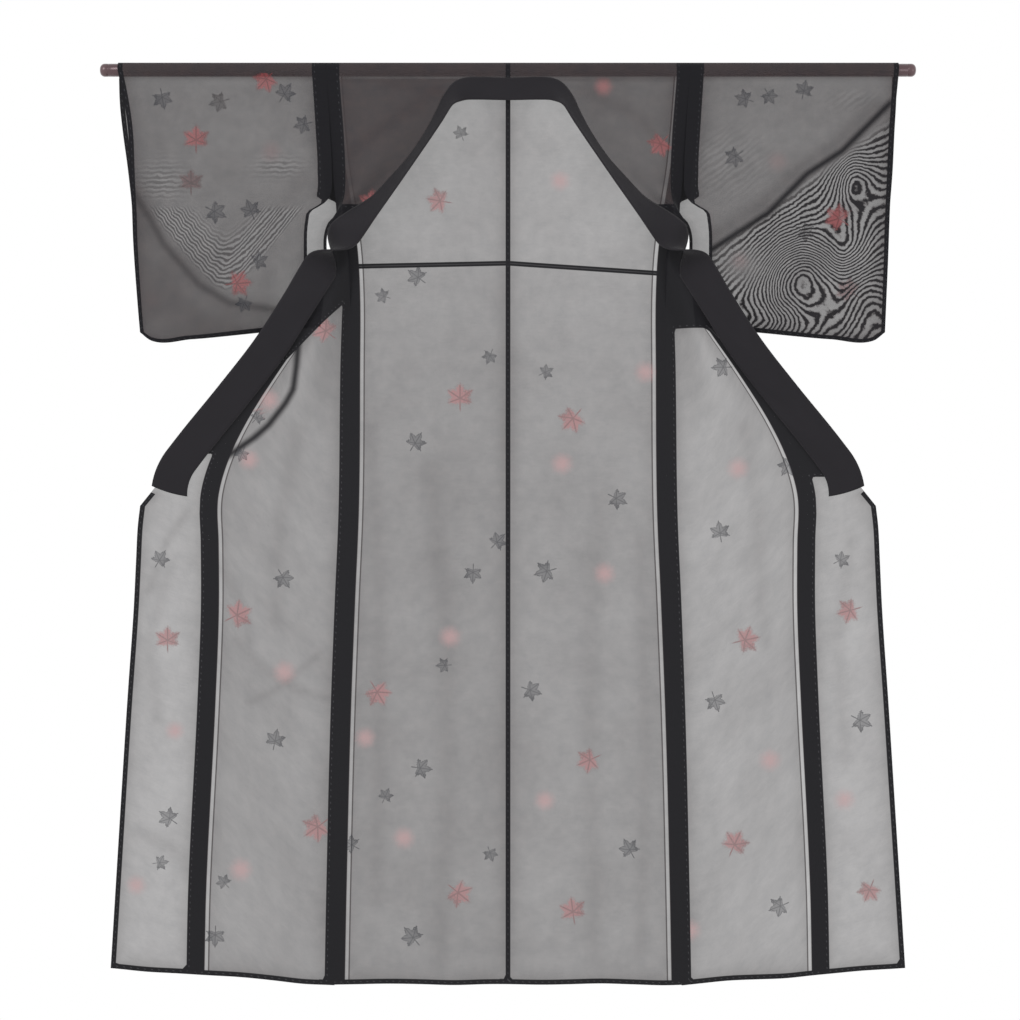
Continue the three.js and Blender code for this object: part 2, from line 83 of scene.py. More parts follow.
# Columns: height, out, y
SIDE_EDGE = np.array([
    (0, 308, 12.7), (-100, 300, 12.2), (-165, 293, 11.6), (-240, 281, 9), (-310, 272, 5),
    (-385, 268, 1), (-500, 268, 0), (-740, 270, 0), (-910, 277, 0), (-1100, 284, 0),
    (-1390, 291, 0), (-1550, 294, 0),
])
OKUMI_SEAM = np.array([
    (-404, 328, -32), (-457, 361, -27.5), (-503, 395, -23.5), (-566, 438, -18.5),
    (-600, 459, -16), (-640, 480, -13), (-690, 499, -10.5), (-728, 507, -9.5),
    (-800, 506, -7), (-911, 506, -4), (-1067, 512, -2), (-1390, 528, 0), (-1532, 531, 0),
])
FRONT_EDGE = np.array([
    (-738, 622, -10), (-772, 626, -9.5), (-830, 629, -8.5), (-911, 633, -7),
    (-1067, 644, -4), (-1300, 659, -2), (-1521, 673, 0),
])
# Columns: place along the collar, width, y, shift of its middle towards the free edge, and how far
# the free edge leans forward before the half turn
COLLAR_BAND = np.array([
    (0, 38, -13.7, 0, 0), (75, 38, -16.3, 0.1, 0.12), (105, 36, -26.9, 6.3, 0.75),
    (150, 34, -30.3, 13.3, 1), (226, 34, -36.3, 17.7, 1.09), (275, 38, -40.8, 16.4, 0.96),
    (320, 46, -47.5, 14.3, 0.88), (360, 56, -48.5, 7.1, 0.6), (395, 60.5, -44.5, 1.7, 0.3),
    (437, 62, -38.5, 1, 0.3), (484, 60, -38, 3, 0.3), (533, 58, -36.5, 7, 0.3),
    (627, 58, -30.5, 12, 0.3), (727, 58, -23.5, 8.5, 0.3), (823, 58.5, -17, 3, 0.3),
    (872, 59, -14.4, 1.5, 0.3), (935, 61, -13, 0, 0.3),
])
# Columns: place along the collar, then the row's outer end (out, y, height), then its bow
UPPER_FRONT = np.array([
    (65, 308, -12.8, -12.6, 0, 0), (95, 306.4, -13, -35, 0, -1), (125, 304, -13, -64, 0, -3),
    (160, 301, -13, -100, 0, -7), (200, 298.6, -13, -136, 0, -11),
    (270, 295.5, -13, -182, 0, -15), (335, 291, -13, -226, 6, -14),
    (385, 287, -10, -262, 11, -5), (430, 271, -8, -298, 4, 3), (475, 266, -5, -340, 0, -3),
    (515, 267, -3, -388, 0, -12),
])
# Columns: height on the side seam, height on the okumi seam, bow to the back
LOWER_FRONT = np.array([
    (-402, -410, -17), (-430, -457, -24), (-478, -503, -30), (-543, -566, -30),
    (-582, -600, -24), (-630, -640, -16), (-688, -690, -9), (-734, -728, -5),
    (-764, -752, -3), (-800, -785, -1), (-862, -845, 0), (-960, -945, 0), (-1080, -1065, 0),
    (-1200, -1185, 0), (-1320, -1303, 0), (-1440, -1422, 0), (-1550, -1532, 0),
])
# Columns: height on the seam, then where the other edge lies behind the collar
OKUMI_ON_COLLAR = np.array([
    (-410, 543, -0.75), (-457, 600, -0.55), (-503, 657, -0.5), (-566, 735, -0.45),
    (-600, 780, -0.4), (-640, 832, -0.3), (-690, 888, 0.1), (-728, 926, 0.8),
])
# Columns: height on the seam, height on the front edge
OKUMI_ON_FRONT = np.array([
    (-752, -738), (-785, -772), (-845, -838), (-960, -953), (-1080, -1072), (-1200, -1191),
    (-1320, -1310), (-1430, -1420), (-1532, -1521),
])
# Columns: height, front layer's edge, back layer's edge
SLEEVE_INNER = np.array([
    (0, 309, 309), (-100, 302.4, 300.4), (-165, 299, 291), (-215, 301, 285), (-228, 312, 284),
    (-240, 332, 284), (-256, 337, 300), (-330, 340, 308), (-436, 350, 318),
])
SLEEVE_OUTER = {
    -1: np.array([
        (0, 660, 661), (-55, 649, 659), (-100, 643, 654), (-170, 640, 644), (-235, 637, 637),
        (-290, 635, 635), (-390, 628, 628), (-460, 622, 622),
    ]),
    1: np.array([
        (0, 661, 661), (-55, 656, 659), (-100, 653, 656), (-170, 650, 652), (-235, 647, 647),
        (-320, 644, 644), (-390, 641, 641), (-460, 638, 638),
    ]),
}
# Columns: share of the width, depth
SLEEVE_DEPTH = np.array([(0, 434), (0.35, 445), (0.7, 455), (0.94, 457), (1, 443)])
# Columns: x, half width, how far the fold stands forward
HANGING_FOLDS = [
    (-610, 42, 9), (-455, 50, -9), (-345, 36, 11), (-205, 52, -8), (-90, 40, 10),
    (55, 46, 7), (160, 40, -9), (262, 34, 8), (372, 42, -10), (470, 38, 10), (600, 46, -7),
]
print("finished length", 1550, "mm, span", 2 * 661, "mm")

# %% [markdown]
# ## Curves through a few measured points
# A seam on hanging cloth bends gently. A cubic curve through its measured points does the same,
# and needs only a handful of numbers. Two helpers blend between values: one straight, one soft.


# %% Curve helpers
def smooth(x):
    """Soft step: 3 t squared minus 2 t cubed, with t held between 0 and 1."""
    t = np.clip(x, 0, 1)
    return t * t * (3 - 2 * t)


def mix(a, b, share):
    """Straight blend from a to b."""
    return a + (b - a) * share


def through(table, column=1):
    """Cubic curve through a table's rows. The slope at a row is the mean of those beside it."""
    at = table[:, 0].astype(float)
    value = table[:, column].astype(float)
    step = np.diff(value) / np.diff(at)
    slope = np.concatenate([step[:1], (step[:-1] + step[1:]) / 2, step[-1:]])
    way = np.sign(at[-1] - at[0])

    def curve(x):
        x = np.asarray(x, dtype=float)
        i = np.clip(np.searchsorted(way * at, way * x, side="right") - 1, 0, len(step) - 1)
        length = at[i + 1] - at[i]
        t = np.clip((x - at[i]) / length, 0, 1)
        rise = t * t * (3 - 2 * t)
        return (
            mix(value[i], value[i + 1], rise)
            + (t - 2 * t**2 + t**3) * length * slope[i]
            + (t**3 - t**2) * length * slope[i + 1]
        )

    return curve


side_out = through(SIDE_EDGE)
side_y = through(SIDE_EDGE, 2)
okumi_out = through(OKUMI_SEAM)
okumi_y = through(OKUMI_SEAM, 2)
front_out = through(FRONT_EDGE)
front_y = through(FRONT_EDGE, 2)
collar_width = through(COLLAR_BAND)
collar_y = through(COLLAR_BAND, 2)
collar_aside = through(COLLAR_BAND, 3)
collar_lean = through(COLLAR_BAND, 4)


def hang(points):
    """Moves points forward by the soft vertical folds, which start below the collar's ends."""
    share = smooth((-740 - points[..., 2]) / 560)
    for x, spread, forward in HANGING_FOLDS:
        points[..., 1] -= share * forward * np.exp(-(((points[..., 0] - x) / spread) ** 2))
    return points


def rows_between(side, outer, inner, shares, bow_out=0.0, bow_y=0.0):
    """Straight rows from outer to inner, bowed by the square of a sine along the row."""
    points = outer[:, None, :] + (inner - outer)[:, None, :] * shares[None, :, None]
    bow = np.sin(np.pi * shares)[None, :] ** 2
    points[..., 0] += side * bow * np.reshape(bow_out, (-1, 1))
    points[..., 1] += bow * np.reshape(bow_y, (-1, 1))
    return hang(points)


def point(x, y, z):
    """Joins three coordinate arrays into points."""
    return np.stack(np.broadcast_arrays(x, y, z), axis=-1).astype(float)


print("half width of the back at the hem", float(side_out(-1550)), "mm")

# %% [markdown]
# ## The collar's path
# The collar is one long band. It lies level behind the neck, turns a corner on each side, leans
# forward beside the neck and runs down to its end, with half a turn where the front is drawn out.
# A line made of straights and arcs gives the place and the heading; the band is laid across it.

# %% The collar's path
LEVEL = CORNER_OUT - CORNER_RADIUS * np.tan(FALL / 2)
CORNER = CORNER_RADIUS * FALL
END_START = LEVEL + CORNER + STRAIGHT
COLLAR_LENGTH = END_START + END_RADIUS * END_TURN


def collar_line(p):
    """Place and heading at distance p: a level part, an arc, a straight part and an arc."""
    first = np.clip((p - LEVEL) / CORNER_RADIUS, 0, FALL)
    straight = np.clip(p - LEVEL - CORNER, 0, STRAIGHT)
    down = first + np.maximum(0, (p - END_START) / END_RADIUS)
    out = (
        np.minimum(p, LEVEL)
        + CORNER_RADIUS * np.sin(first)
        + straight * np.cos(FALL)
        + END_RADIUS * (np.sin(down) - np.sin(first))
    )
    z = (
        LEVEL_Z
        + CORNER_RADIUS * (np.cos(first) - 1)
        - straight * np.sin(FALL)
        + END_RADIUS * (np.cos(down) - np.cos(first))
    )
    return out, z, -np.sin(down), -np.cos(down)


def collar_point(side, p, across):
    """Point on the band: across is -1 on the sewn edge and 1 on the free edge.

    Round the neck the band leans forward. Then it turns on to half a turn by a soft step of p,
    its free edge passing in front."""
    p = np.abs(p)
    slide = END_SKEW * smooth((p - COLLAR_LENGTH) / END_SKEW_LENGTH + 1)
    out, z, across_out, across_z = collar_line(p - across * slide)
    turn = mix(collar_lean(p), np.pi, smooth((p - TWIST_START) / (TWIST_END - TWIST_START)))
    reach = across * collar_width(p) / 2
    in_plane = collar_aside(p) + reach * np.cos(turn)
    return point(
        side * (out + in_plane * across_out),
        collar_y(p) - reach * np.sin(turn),
        z + in_plane * across_z,
    )


print("collar from end to end", round(2 * COLLAR_LENGTH), "mm")

# %% [markdown]
# ## From a grid of points to a sheet of cloth
# Gauze is a fifth of a millimetre thick, so each panel is one sheet of faces and its openness is
# painted by its material. The painting needs to know where it is: how far each point lies inside
# a seam or a hem, how open the cloth is there, and where the leaves are. Those numbers go onto
# the mesh as attributes, next to a UV map that is laid out in metres along the threads.


# %% Grid to mesh
def face_grid(rows, columns, ring=False):
    """Corner numbers of each cell of a grid, row by row. A ring joins the last row to the first."""
    i = np.arange(rows if ring else rows - 1)[:, None]
    j = np.arange(columns - 1)[None, :]
    a = i * columns + j
    b = ((i + 1) % rows) * columns + j
    return np.stack([a, b, b + 1, a + 1], axis=-1).reshape(-1, 4)


def along_threads(points, axis):
    """Distance run along one direction of the grid, from its first line."""
    steps = np.linalg.norm(np.diff(points, axis=axis), axis=-1)
    start = np.zeros_like(np.take(steps, [0], axis=axis))
    return np.concatenate([start, np.cumsum(steps, axis=axis)], axis=axis)


def new_piece(name, points, faces, material, smooth_shaded=True):
    """Makes an object in the scene from points in metres and lists of corner numbers."""
    mesh = bpy.data.meshes.new(name)
    mesh.from_pydata(points.tolist(), [], faces)
    mesh.polygons.foreach_set("use_smooth", np.full(len(faces), smooth_shaded))
    mesh.materials.append(material)
    piece = bpy.data.objects.new(name, mesh)
    bpy.context.collection.objects.link(piece)
    print(name, len(faces), "faces")
    return piece


def make_sheet(name, points, faces, marks, material, flip=False):
    """Makes a sheet from a grid in millimetres, its attributes and a UV map along its threads."""
    used = np.unique(faces)
    number = np.full(points[..., 0].size, -1)
    number[used] = np.arange(len(used))
    faces = number[faces][:, ::-1 if flip else 1]
    piece = new_piece(name, points.reshape(-1, 3)[used] * MM, faces.tolist(), material)
    for key, value in marks.items():
        value = np.broadcast_to(value, points.shape[:2] + value.shape[2:])
        kind, field = ("FLOAT_VECTOR", "vector") if value.ndim > 2 else ("FLOAT", "value")
        layer = piece.data.attributes.new(key, kind, "POINT")
        values = value.reshape(len(number), -1)[used]
        layer.data.foreach_set(field, values.ravel().astype(np.float32))
    threads = [along_threads(points, axis).reshape(-1)[used] * MM for axis in (1, 0)]
    threads = np.stack(threads, axis=-1)[faces.ravel()]
    layer = piece.data.uv_layers.new(name="threads")
    layer.data.foreach_set("uv", threads.ravel().astype(np.float32))
    piece.data.update()
    return piece


def away_from(points, place):
    """Distance from each point to a place, or to its own row's or column's place."""
    return np.linalg.norm(points - place, axis=-1)


# %% [markdown]
# ## Places read off the picture
# The picture is 1020 units wide and looks straight at the garment, so one unit is 1.694 mm in the
# plane of the rod. Leaves, soft creases and ripples are placed in those units.

# %% Picture units
UNIT = 1.694
PICTURE_CENTRE = 508.0
PICTURE_ROD = 70.0
# Painted shade beside the dense bands: how strong it is, and its reach in millimetres
EDGE_SHADE = 0.28
EDGE_REACH = 14.0
# Reach of a painted fold shadow round its path, in picture units
FOLD_SHADE_FADE = 16.0


def from_picture(places):
    """Turns picture places into x and z in millimetres."""
    places = np.asarray(places, dtype=float)
    return np.stack(
        [(places[..., 0] - PICTURE_CENTRE) * UNIT, (PICTURE_ROD - places[..., 1]) * UNIT], axis=-1
    )


def to_line(points, line):
    """Distance in the plane of the picture from each point to a broken line, and its side of it."""
    here = points[..., [0, 2]]
    best = np.full(here.shape[:-1], np.inf)
    sign = np.ones(best.shape)
    for start, end in zip(line[:-1], line[1:]):
        way = end - start
        offset = here - start
        t = np.clip((offset @ way) / (way @ way), 0, 1)
        away = np.linalg.norm(offset - t[..., None] * way, axis=-1)
        turn = np.sign(offset[..., 0] * way[1] - offset[..., 1] * way[0])
        sign = np.where(away < best, turn, sign)
        best = np.minimum(best, away)
    return best, sign


def painted_fold_shade(points, fold, where):
    """A painted shadow of a sharp fold along a path: distance to its line with a sign, and how dark
    it is.

    The line runs straight on beyond both ends, so that the sign never jumps near the fold."""
    path = np.array(fold[0], dtype=float)
    first = path[0] + (path[0] - path[1]) * 30
    last = path[-1] + (path[-1] - path[-2]) * 30
    distance, sign = to_line(points, from_picture(np.vstack([first, path, last])))
    beyond = to_line(points, from_picture(path))[0] / (FOLD_SHADE_FADE * UNIT)
    depth = fold[1] * smooth(1.7 - beyond)
    return {"fold": distance * sign, "fold_shade_strength": np.where(where, depth, 0.0)}


def shade_beside_bands(distance):
    """Share of light left beside a dense band: painted shade along the band's edge."""
    return 1 - EDGE_SHADE * np.exp(np.minimum(distance, 0) / EDGE_REACH)


# %% [markdown]
# ## Leaves
# Maple leaves in brick red, pale pink and slate are dyed onto the gauze, a few centimetres apart
# and turned every way. They could be cut out as geometry, but dye has no thickness, so each leaf
# is a small set of coordinates on the cloth: the material then draws one generic maple leaf
# around each centre. Neighbours go into two separate sets, so that no cell of the mesh has to
# hold the coordinates of two leaves at once.

# %% Leaves
RED, PINK, SLATE = 0.0, 0.5, 1.0
FAR_LEAF = 1.6
LEAF_BLUR = 1.22
# Columns: picture x, picture y, radius in picture units, colour
SLEEVE_LEAVES = [
    (197, 141, 16, RED), (267, 80, 15, RED), (238, 284, 16, RED), (838, 219, 16, RED),
    (163, 98, 12, SLATE), (285, 95, 12, SLATE), (305, 125, 11, SLATE), (215, 212, 13, SLATE),
    (252, 212, 12, SLATE), (245, 303, 10, SLATE), (258, 262, 11, SLATE), (745, 100, 11, SLATE),
    (768, 96, 10, SLATE), (803, 92, 11, SLATE), (735, 157, 12, SLATE),
]
SLEEVE_BACK_LEAVES = [
    (190, 182, 15, RED), (779, 160, 15, PINK), (270, 150, 15, PINK), (850, 290, 15, RED),
    (150, 300, 14, PINK), (740, 260, 14, PINK), (220, 100, 12, SLATE), (805, 230, 12, SLATE),
]
FRONT_LEAVES = [
    (373, 206, 16, RED), (660, 145, 15, RED), (322, 290, 16, RED), (327, 332, 15, RED),
    (400, 343, 15, PINK), (603, 88, 13, PINK), (610, 187, 12, SLATE),
    (270, 400, 15, PINK), (250, 460, 14, PINK), (243, 453, 9, SLATE), (237, 615, 17, RED),
    (285, 672, 16, PINK), (283, 577, 12, SLATE), (275, 741, 12, SLATE), (318, 826, 17, RED),
    (240, 870, 16, PINK), (224, 883, 9, SLATE), (215, 935, 12, SLATE), (258, 418, 9, SLATE),
    (722, 368, 12, SLATE), (737, 468, 15, PINK), (720, 533, 12, SLATE), (788, 465, 12, SLATE),
    (745, 640, 16, RED), (770, 760, 15, PINK), (715, 700, 12, SLATE), (735, 845, 16, RED),
    (780, 905, 12, SLATE), (690, 930, 15, PINK),
]
BACK_LEAVES = [
    (460, 398, 16, RED), (573, 418, 16, RED), (645, 372, 15, PINK), (418, 277, 12, SLATE),
    (562, 463, 15, PINK), (415, 443, 12, SLATE), (547, 571, 13, SLATE), (616, 498, 12, SLATE),
    (461, 133, 9, SLATE), (490, 355, 9, SLATE), (545, 372, 9, SLATE), (384, 296, 9, SLATE),
    (377, 692, 16, RED), (450, 637, 15, PINK), (605, 573, 15, PINK), (420, 768, 12, SLATE),
    (413, 938, 13, SLATE), (473, 572, 11, SLATE), (497, 542, 11, SLATE), (445, 665, 9, SLATE),
    (458, 892, 16, RED), (573, 912, 16, RED), (404, 838, 15, PINK), (365, 738, 14, PINK),
    (352, 845, 11, SLATE), (490, 853, 9, SLATE), (385, 797, 9, SLATE), (590, 760, 15, RED),
    (530, 690, 12, SLATE), (630, 850, 12, SLATE), (545, 800, 14, PINK), (560, 180, 14, PINK),
    (440, 200, 15, RED),
]
OKUMI_LEAVES = [
    (168, 640, 15, RED), (137, 884, 14, PINK), (160, 862, 9, SLATE), (170, 818, 12, SLATE),
    (175, 730, 13, PINK), (160, 560, 11, SLATE), (850, 610, 15, RED), (860, 720, 13, SLATE),
    (845, 800, 15, PINK), (870, 890, 14, RED), (840, 560, 10, SLATE),
]
GOLDEN_TURN = 2.4


def leaf_marks(points, leaves):
    """Coordinates of the nearest leaf for each point, in leaf radii, as two sets of attributes.

    The third coordinate is 1 near a leaf and 0 elsewhere."""
    table = np.array(leaves, dtype=float)
    centres = from_picture(table[:, :2])
    radii = table[:, 2] * UNIT * np.where(table[:, 3] < SLATE, LEAF_BLUR, 1.08)
    turn = np.arange(len(table)) * GOLDEN_TURN
    sets = ([], [])
    for k in range(len(table)):
        gaps = [np.linalg.norm(centres[k] - centres[m]) for m in sets[0]]
        crowded = any(gap < 2 * FAR_LEAF * 1.7 * radii[k] for gap in gaps)
        sets[1 if crowded else 0].append(k)
    here = points[..., [0, 2]]
    marks = {}
    for word, members in zip(("one", "two"), sets):
        members = np.array(members if members else [0])
        away = here[..., None, :] - centres[members]
        distance = np.linalg.norm(away, axis=-1) / radii[members]
        nearest = np.argmin(distance, axis=-1)
        own = members[nearest]
        offset = here - centres[own]
        cos, sin = np.cos(turn[own]), np.sin(turn[own])
        u = (offset[..., 0] * cos + offset[..., 1] * sin) / radii[own]
        v = (offset[..., 1] * cos - offset[..., 0] * sin) / radii[own]
        near = (np.min(distance, axis=-1) < FAR_LEAF) & (points[..., 2] < -ROD_RADIUS)
        marks["leaf_" + word] = np.stack([u, v, near.astype(float)], axis=-1)
        marks["tint_" + word] = table[own, 3]
    return marks


print("leaves on the sleeves' fronts:", len(SLEEVE_LEAVES))

# %% [markdown]
# ## Drawing with shader nodes
# A material here is a small sum: numbers from the mesh go in, a few curves shape them, and the
# shader's colour, openness, roughness and bump come out. One helper class keeps the node
# building short enough to read as sums.


# %% Node helper
class Value:
    """One output of a node. Adding, subtracting or multiplying values adds a Math node."""

    def __init__(self, paint, socket):
        self.paint = paint
        self.socket = socket

    def __add__(self, other):
        return self.paint.sum("ADD", self, other)

    def __sub__(self, other):
        return self.paint.sum("SUBTRACT", self, other)

    def __rsub__(self, other):
        return self.paint.sum("SUBTRACT", other, self)

    def __mul__(self, other):
        return self.paint.sum("MULTIPLY", self, other)

    def __abs__(self):
        return self.paint.sum("ABSOLUTE", self)


class Paint:
    """Adds nodes to one tree. What goes in may be a number, a colour or a node's Value."""

    def __init__(self, tree):
        self.tree = tree

    def feed(self, node, inputs):
        """Links each Value to the node's input of that name or number, or sets the input."""
        for key, value in dict(inputs).items():
            if isinstance(value, Value):
                self.tree.links.new(value.socket, node.inputs[key])
            else:
                node.inputs[key].default_value = value

    def node(self, kind, inputs=(), **settings):
        """Adds a node by its name in Blender, less the word ShaderNode."""
        made = self.tree.nodes.new("ShaderNode" + kind)
        for key, value in settings.items():
            setattr(made, key, value)
        self.feed(made, inputs)
        return made

    def out(self, kind, inputs=(), output=0, **settings):
        """Adds a node and returns one of its outputs."""
        return Value(self, self.node(kind, inputs, **settings).outputs[output])

    def sum(self, operation, a, b=0.0, clamp=False):
        """One step of arithmetic."""
        return self.out("Math", {0: a, 1: b}, operation=operation, use_clamp=clamp)

    def most(self, *values):
        """The largest of several values."""
        best = values[0]
        for value in values[1:]:
            best = self.sum("MAXIMUM", best, value)
        return best

    def held(self, value):
        """A value held between 0 and 1."""
        return self.sum("ADD", value, 0.0, clamp=True)

    def step(self, value, low, high, first=0.0, last=1.0, ease="SMOOTHSTEP"):
        """Soft step from first to last while value goes from low to high."""
        ends = {"From Min": low, "From Max": high, "To Min": first, "To Max": last}
        return self.out("MapRange", {"Value": value, **ends}, "Result", interpolation_type=ease)

    def blend(self, share, a, b):
        """Colour blend from a to b."""
        return self.out("Mix", {"Factor": share, 6: a, 7: b}, 2, data_type="RGBA")

    def curve(self, value, stops):
        """Looks a value up on a ramp of places and grey levels or colours."""
        made = self.node("ValToRGB", {"Fac": value})
        elements = made.color_ramp.elements
        while len(elements) < len(stops):
            elements.new(0.5)
        for element, (place, level) in zip(elements, stops):
            element.position = place
            element.color = level if hasattr(level, "__len__") else (level, level, level, 1)
        return Value(self, made.outputs["Color"])

    def mark(self, name, output="Fac"):
        """Reads an attribute of the mesh."""
        return self.out("Attribute", (), output, attribute_name=name)

    def noise(self, vector, scale, detail=2.0, roughness=0.5):
        """Cloudy noise between 0 and 1."""
        inputs = {"Vector": vector, "Scale": scale, "Detail": detail, "Roughness": roughness}
        return self.out("TexNoise", inputs, "Fac")

    def streaks(self, vector, scales, detail):
        """Noise with its own scale along each axis."""
        return self.noise(self.out("Mapping", {"Vector": vector, "Scale": scales}), 1.0, detail)

    def split(self, vector):
        """The three coordinates of a vector."""
        return [Value(self, part) for part in self.node("SeparateXYZ", {0: vector}).outputs]

    def place(self):
        """Object coordinates in metres."""
        return self.out("TexCoord", (), "Object")


def new_material(name):
    """A material with an empty tree, its shader and the helper that paints on it."""
    material = bpy.data.materials.new(name)
    material.use_nodes = True
    tree = material.node_tree
    tree.nodes.clear()
    paint = Paint(tree)
    shader = paint.node("BsdfPrincipled")
    output = paint.node("OutputMaterial")
    tree.links.new(shader.outputs[0], output.inputs["Surface"])
    return material, paint, shader


# %% [markdown]
# ## One maple leaf
# A maple leaf has seven pointed lobes that spread from its stem. Around the stem's top, its
# outline is a radius that depends on the angle only, so a ramp over the angle holds the whole
# leaf. A second ramp holds the angle to the nearest lobe's middle, which gives the veins.

# %% One maple leaf
BLOT = 0.8
LOBES = [(0.0, 1.0), (0.31, 0.96), (0.61, 0.78)]
BAYS = [(0.16, 0.54), (0.47, 0.5), (0.84, 0.3)]


def leaf_outline():
    """Stops of the outline: each lobe falls steeply from its tip, then slowly into the bay."""
    stops = []
    previous = None
    for (tip, reach), (bay, depth) in zip(LOBES, BAYS):
        if previous is not None:
            gap = tip - previous[0]
            stops.append((previous[0] + 0.35 * gap, mix(previous[1], reach, 0.3)))
            stops.append((previous[0] + 0.8 * gap, mix(previous[1], reach, 0.66)))
        stops.append((tip, reach))
        stops.append((mix(tip, bay, 0.2), mix(reach, depth, 0.34)))
        stops.append((mix(tip, bay, 0.6), mix(reach, depth, 0.68)))
        stops.append((bay, depth))
        previous = (bay, depth)
    stops.append((0.96, 0.18))
    stops.append((0.985, 0.75))
    return stops


def vein_angles():
    """Stops of the angle to the nearest lobe's middle: nothing at a lobe, most in a bay."""
    stops = []
    for (tip, _), (bay, _) in zip(LOBES, BAYS):
        stops.append((tip, 0.0))
        stops.append((bay, bay - tip))
    stops.append((0.99, 0.0))
    return stops


def by_dye(paint, tint, red, pink, slate):
    """One value or colour for each dye, looked up by the leaf's colour number."""
    return paint.curve(tint, [(RED, red), (PINK, pink), (SLATE, slate)])


def paint_leaf(paint, word):
    """Returns the share of dye, the share of dark line in it, and the leaf's colour number.

    Red leaves have run a little and pink ones a lot, so their outline is mixed with a round blot.
    Veins, the rim and a shaded half are dark, and a dry brush leaves thin places in the fill."""
    u, v, near = paint.split(paint.mark("leaf_" + word, "Vector"))
    angle = abs(paint.sum("ARCTAN2", u, v)) * (1 / np.pi)
    flat = paint.out("CombineXYZ", {0: u, 1: v})
    radius = paint.out("VectorMath", {0: flat}, "Value", operation="LENGTH")
    ragged = (paint.noise(flat, 9.0) - 0.5) * 0.4 + radius
    tint = paint.mark("tint_" + word)
    blurred = by_dye(paint, tint, 0.3, 0.9, 0.0)
    outline = paint.blend(blurred, paint.curve(angle, leaf_outline()), (BLOT, BLOT, BLOT, 1))
    room = outline - ragged
    softness = by_dye(paint, tint, 0.3, 0.75, 0.06)
    dye = paint.step(room, 0.0, softness) * paint.step(near, 0.4, 0.6)
    aside = paint.sum("SINE", paint.curve(angle, vein_angles()) * np.pi) * radius
    vein = paint.step(aside, 0.02, 0.05, 0.7, 0.0)
    rim = paint.step(room, 0.07, 0.15, 0.75, 0.0)
    grain = paint.noise(flat, 13.0, 3.0, 0.7)
    shade = paint.step(u * 0.35 + (grain - 0.42), 0.12, 0.3, 0.0, 0.75)
    dark = paint.most(vein, rim, shade) * by_dye(paint, tint, 0.8, 0.0, 1.0)
    fill = paint.step(grain, 0.56, 0.66, 1.0, 0.6) * by_dye(paint, tint, 0.8, 0.62, 0.42)
    return dye * paint.most(fill, dark), dark, tint


# %% [markdown]
# ## Gauze
# The cloth is so open that the light behind it decides how dark it looks: the share of light that
# comes through one layer is its openness. Where two layers lie behind each other the shares
# multiply, and a folded seam or hem lets nearly nothing through. So the material's Alpha is one
# minus the openness, and the yarn's own colour is nearly black. Two layers of gauze also make
# ripples like wood grain, where their threads fall in and out of step. They are painted as
# contour lines of a soft hill of numbers that the mesh carries.

# %% Gauze
YARN = (0.028, 0.027, 0.031, 1)
YARN_WARM = (0.054, 0.04, 0.039, 1)
# Yarn of the dense bands, also the colour of painted shade in folds and ripples
DENSE_AND_SHADED_YARN = (0.0085, 0.0082, 0.0102, 1)
BAND_OPEN = 0.006
THREAD_PITCH = 0.0013
SEAM_REACH = 16.0
# Share of the cloth's openness by distance from a seam band's edge, from outside to inside
SEAM_STOPS = [(0.0, 0.62), (0.22, 0.62), (0.25, 0.12), (0.29, 0.12), (0.32, 1.0), (0.46, 1.0),
              (0.49, 0.02), (1.0, 0.02)]
SEAM_SCALE = 1 / 0.62
# Half width of a painted fold shadow in millimetres
FOLD_SHADE_WIDTH = 11.0
RIPPLE_JAG = 0.7
STITCH_PITCH = 0.011
STITCH_INSIDE = 4.2
STITCH_COLOUR = (0.1, 0.1, 0.11, 1)
# For red, pink and slate: the fill, the dark lines, and how much light comes through the dye
DYE_FILL = (0.255, 0.052, 0.055, 1), (0.3, 0.055, 0.055, 1), (0.03, 0.034, 0.044, 1)
DYE_DEEP = (0.06, 0.018, 0.018, 1), (0.2, 0.035, 0.04, 1), (0.012, 0.014, 0.02, 1)
DYE_OPEN = 0.17, 0.3, 0.05


def thread_grid(paint, pitch):
    """Height of a plain weave: ridges along both thread directions of the UV map."""
    uv = paint.out("UVMap", uv_map="threads")
    warp, weft = [paint.sum("SINE", way * (2 * np.pi / pitch)) for way in paint.split(uv)[:2]]
    return uv, (warp + weft) * 0.25 + 0.5


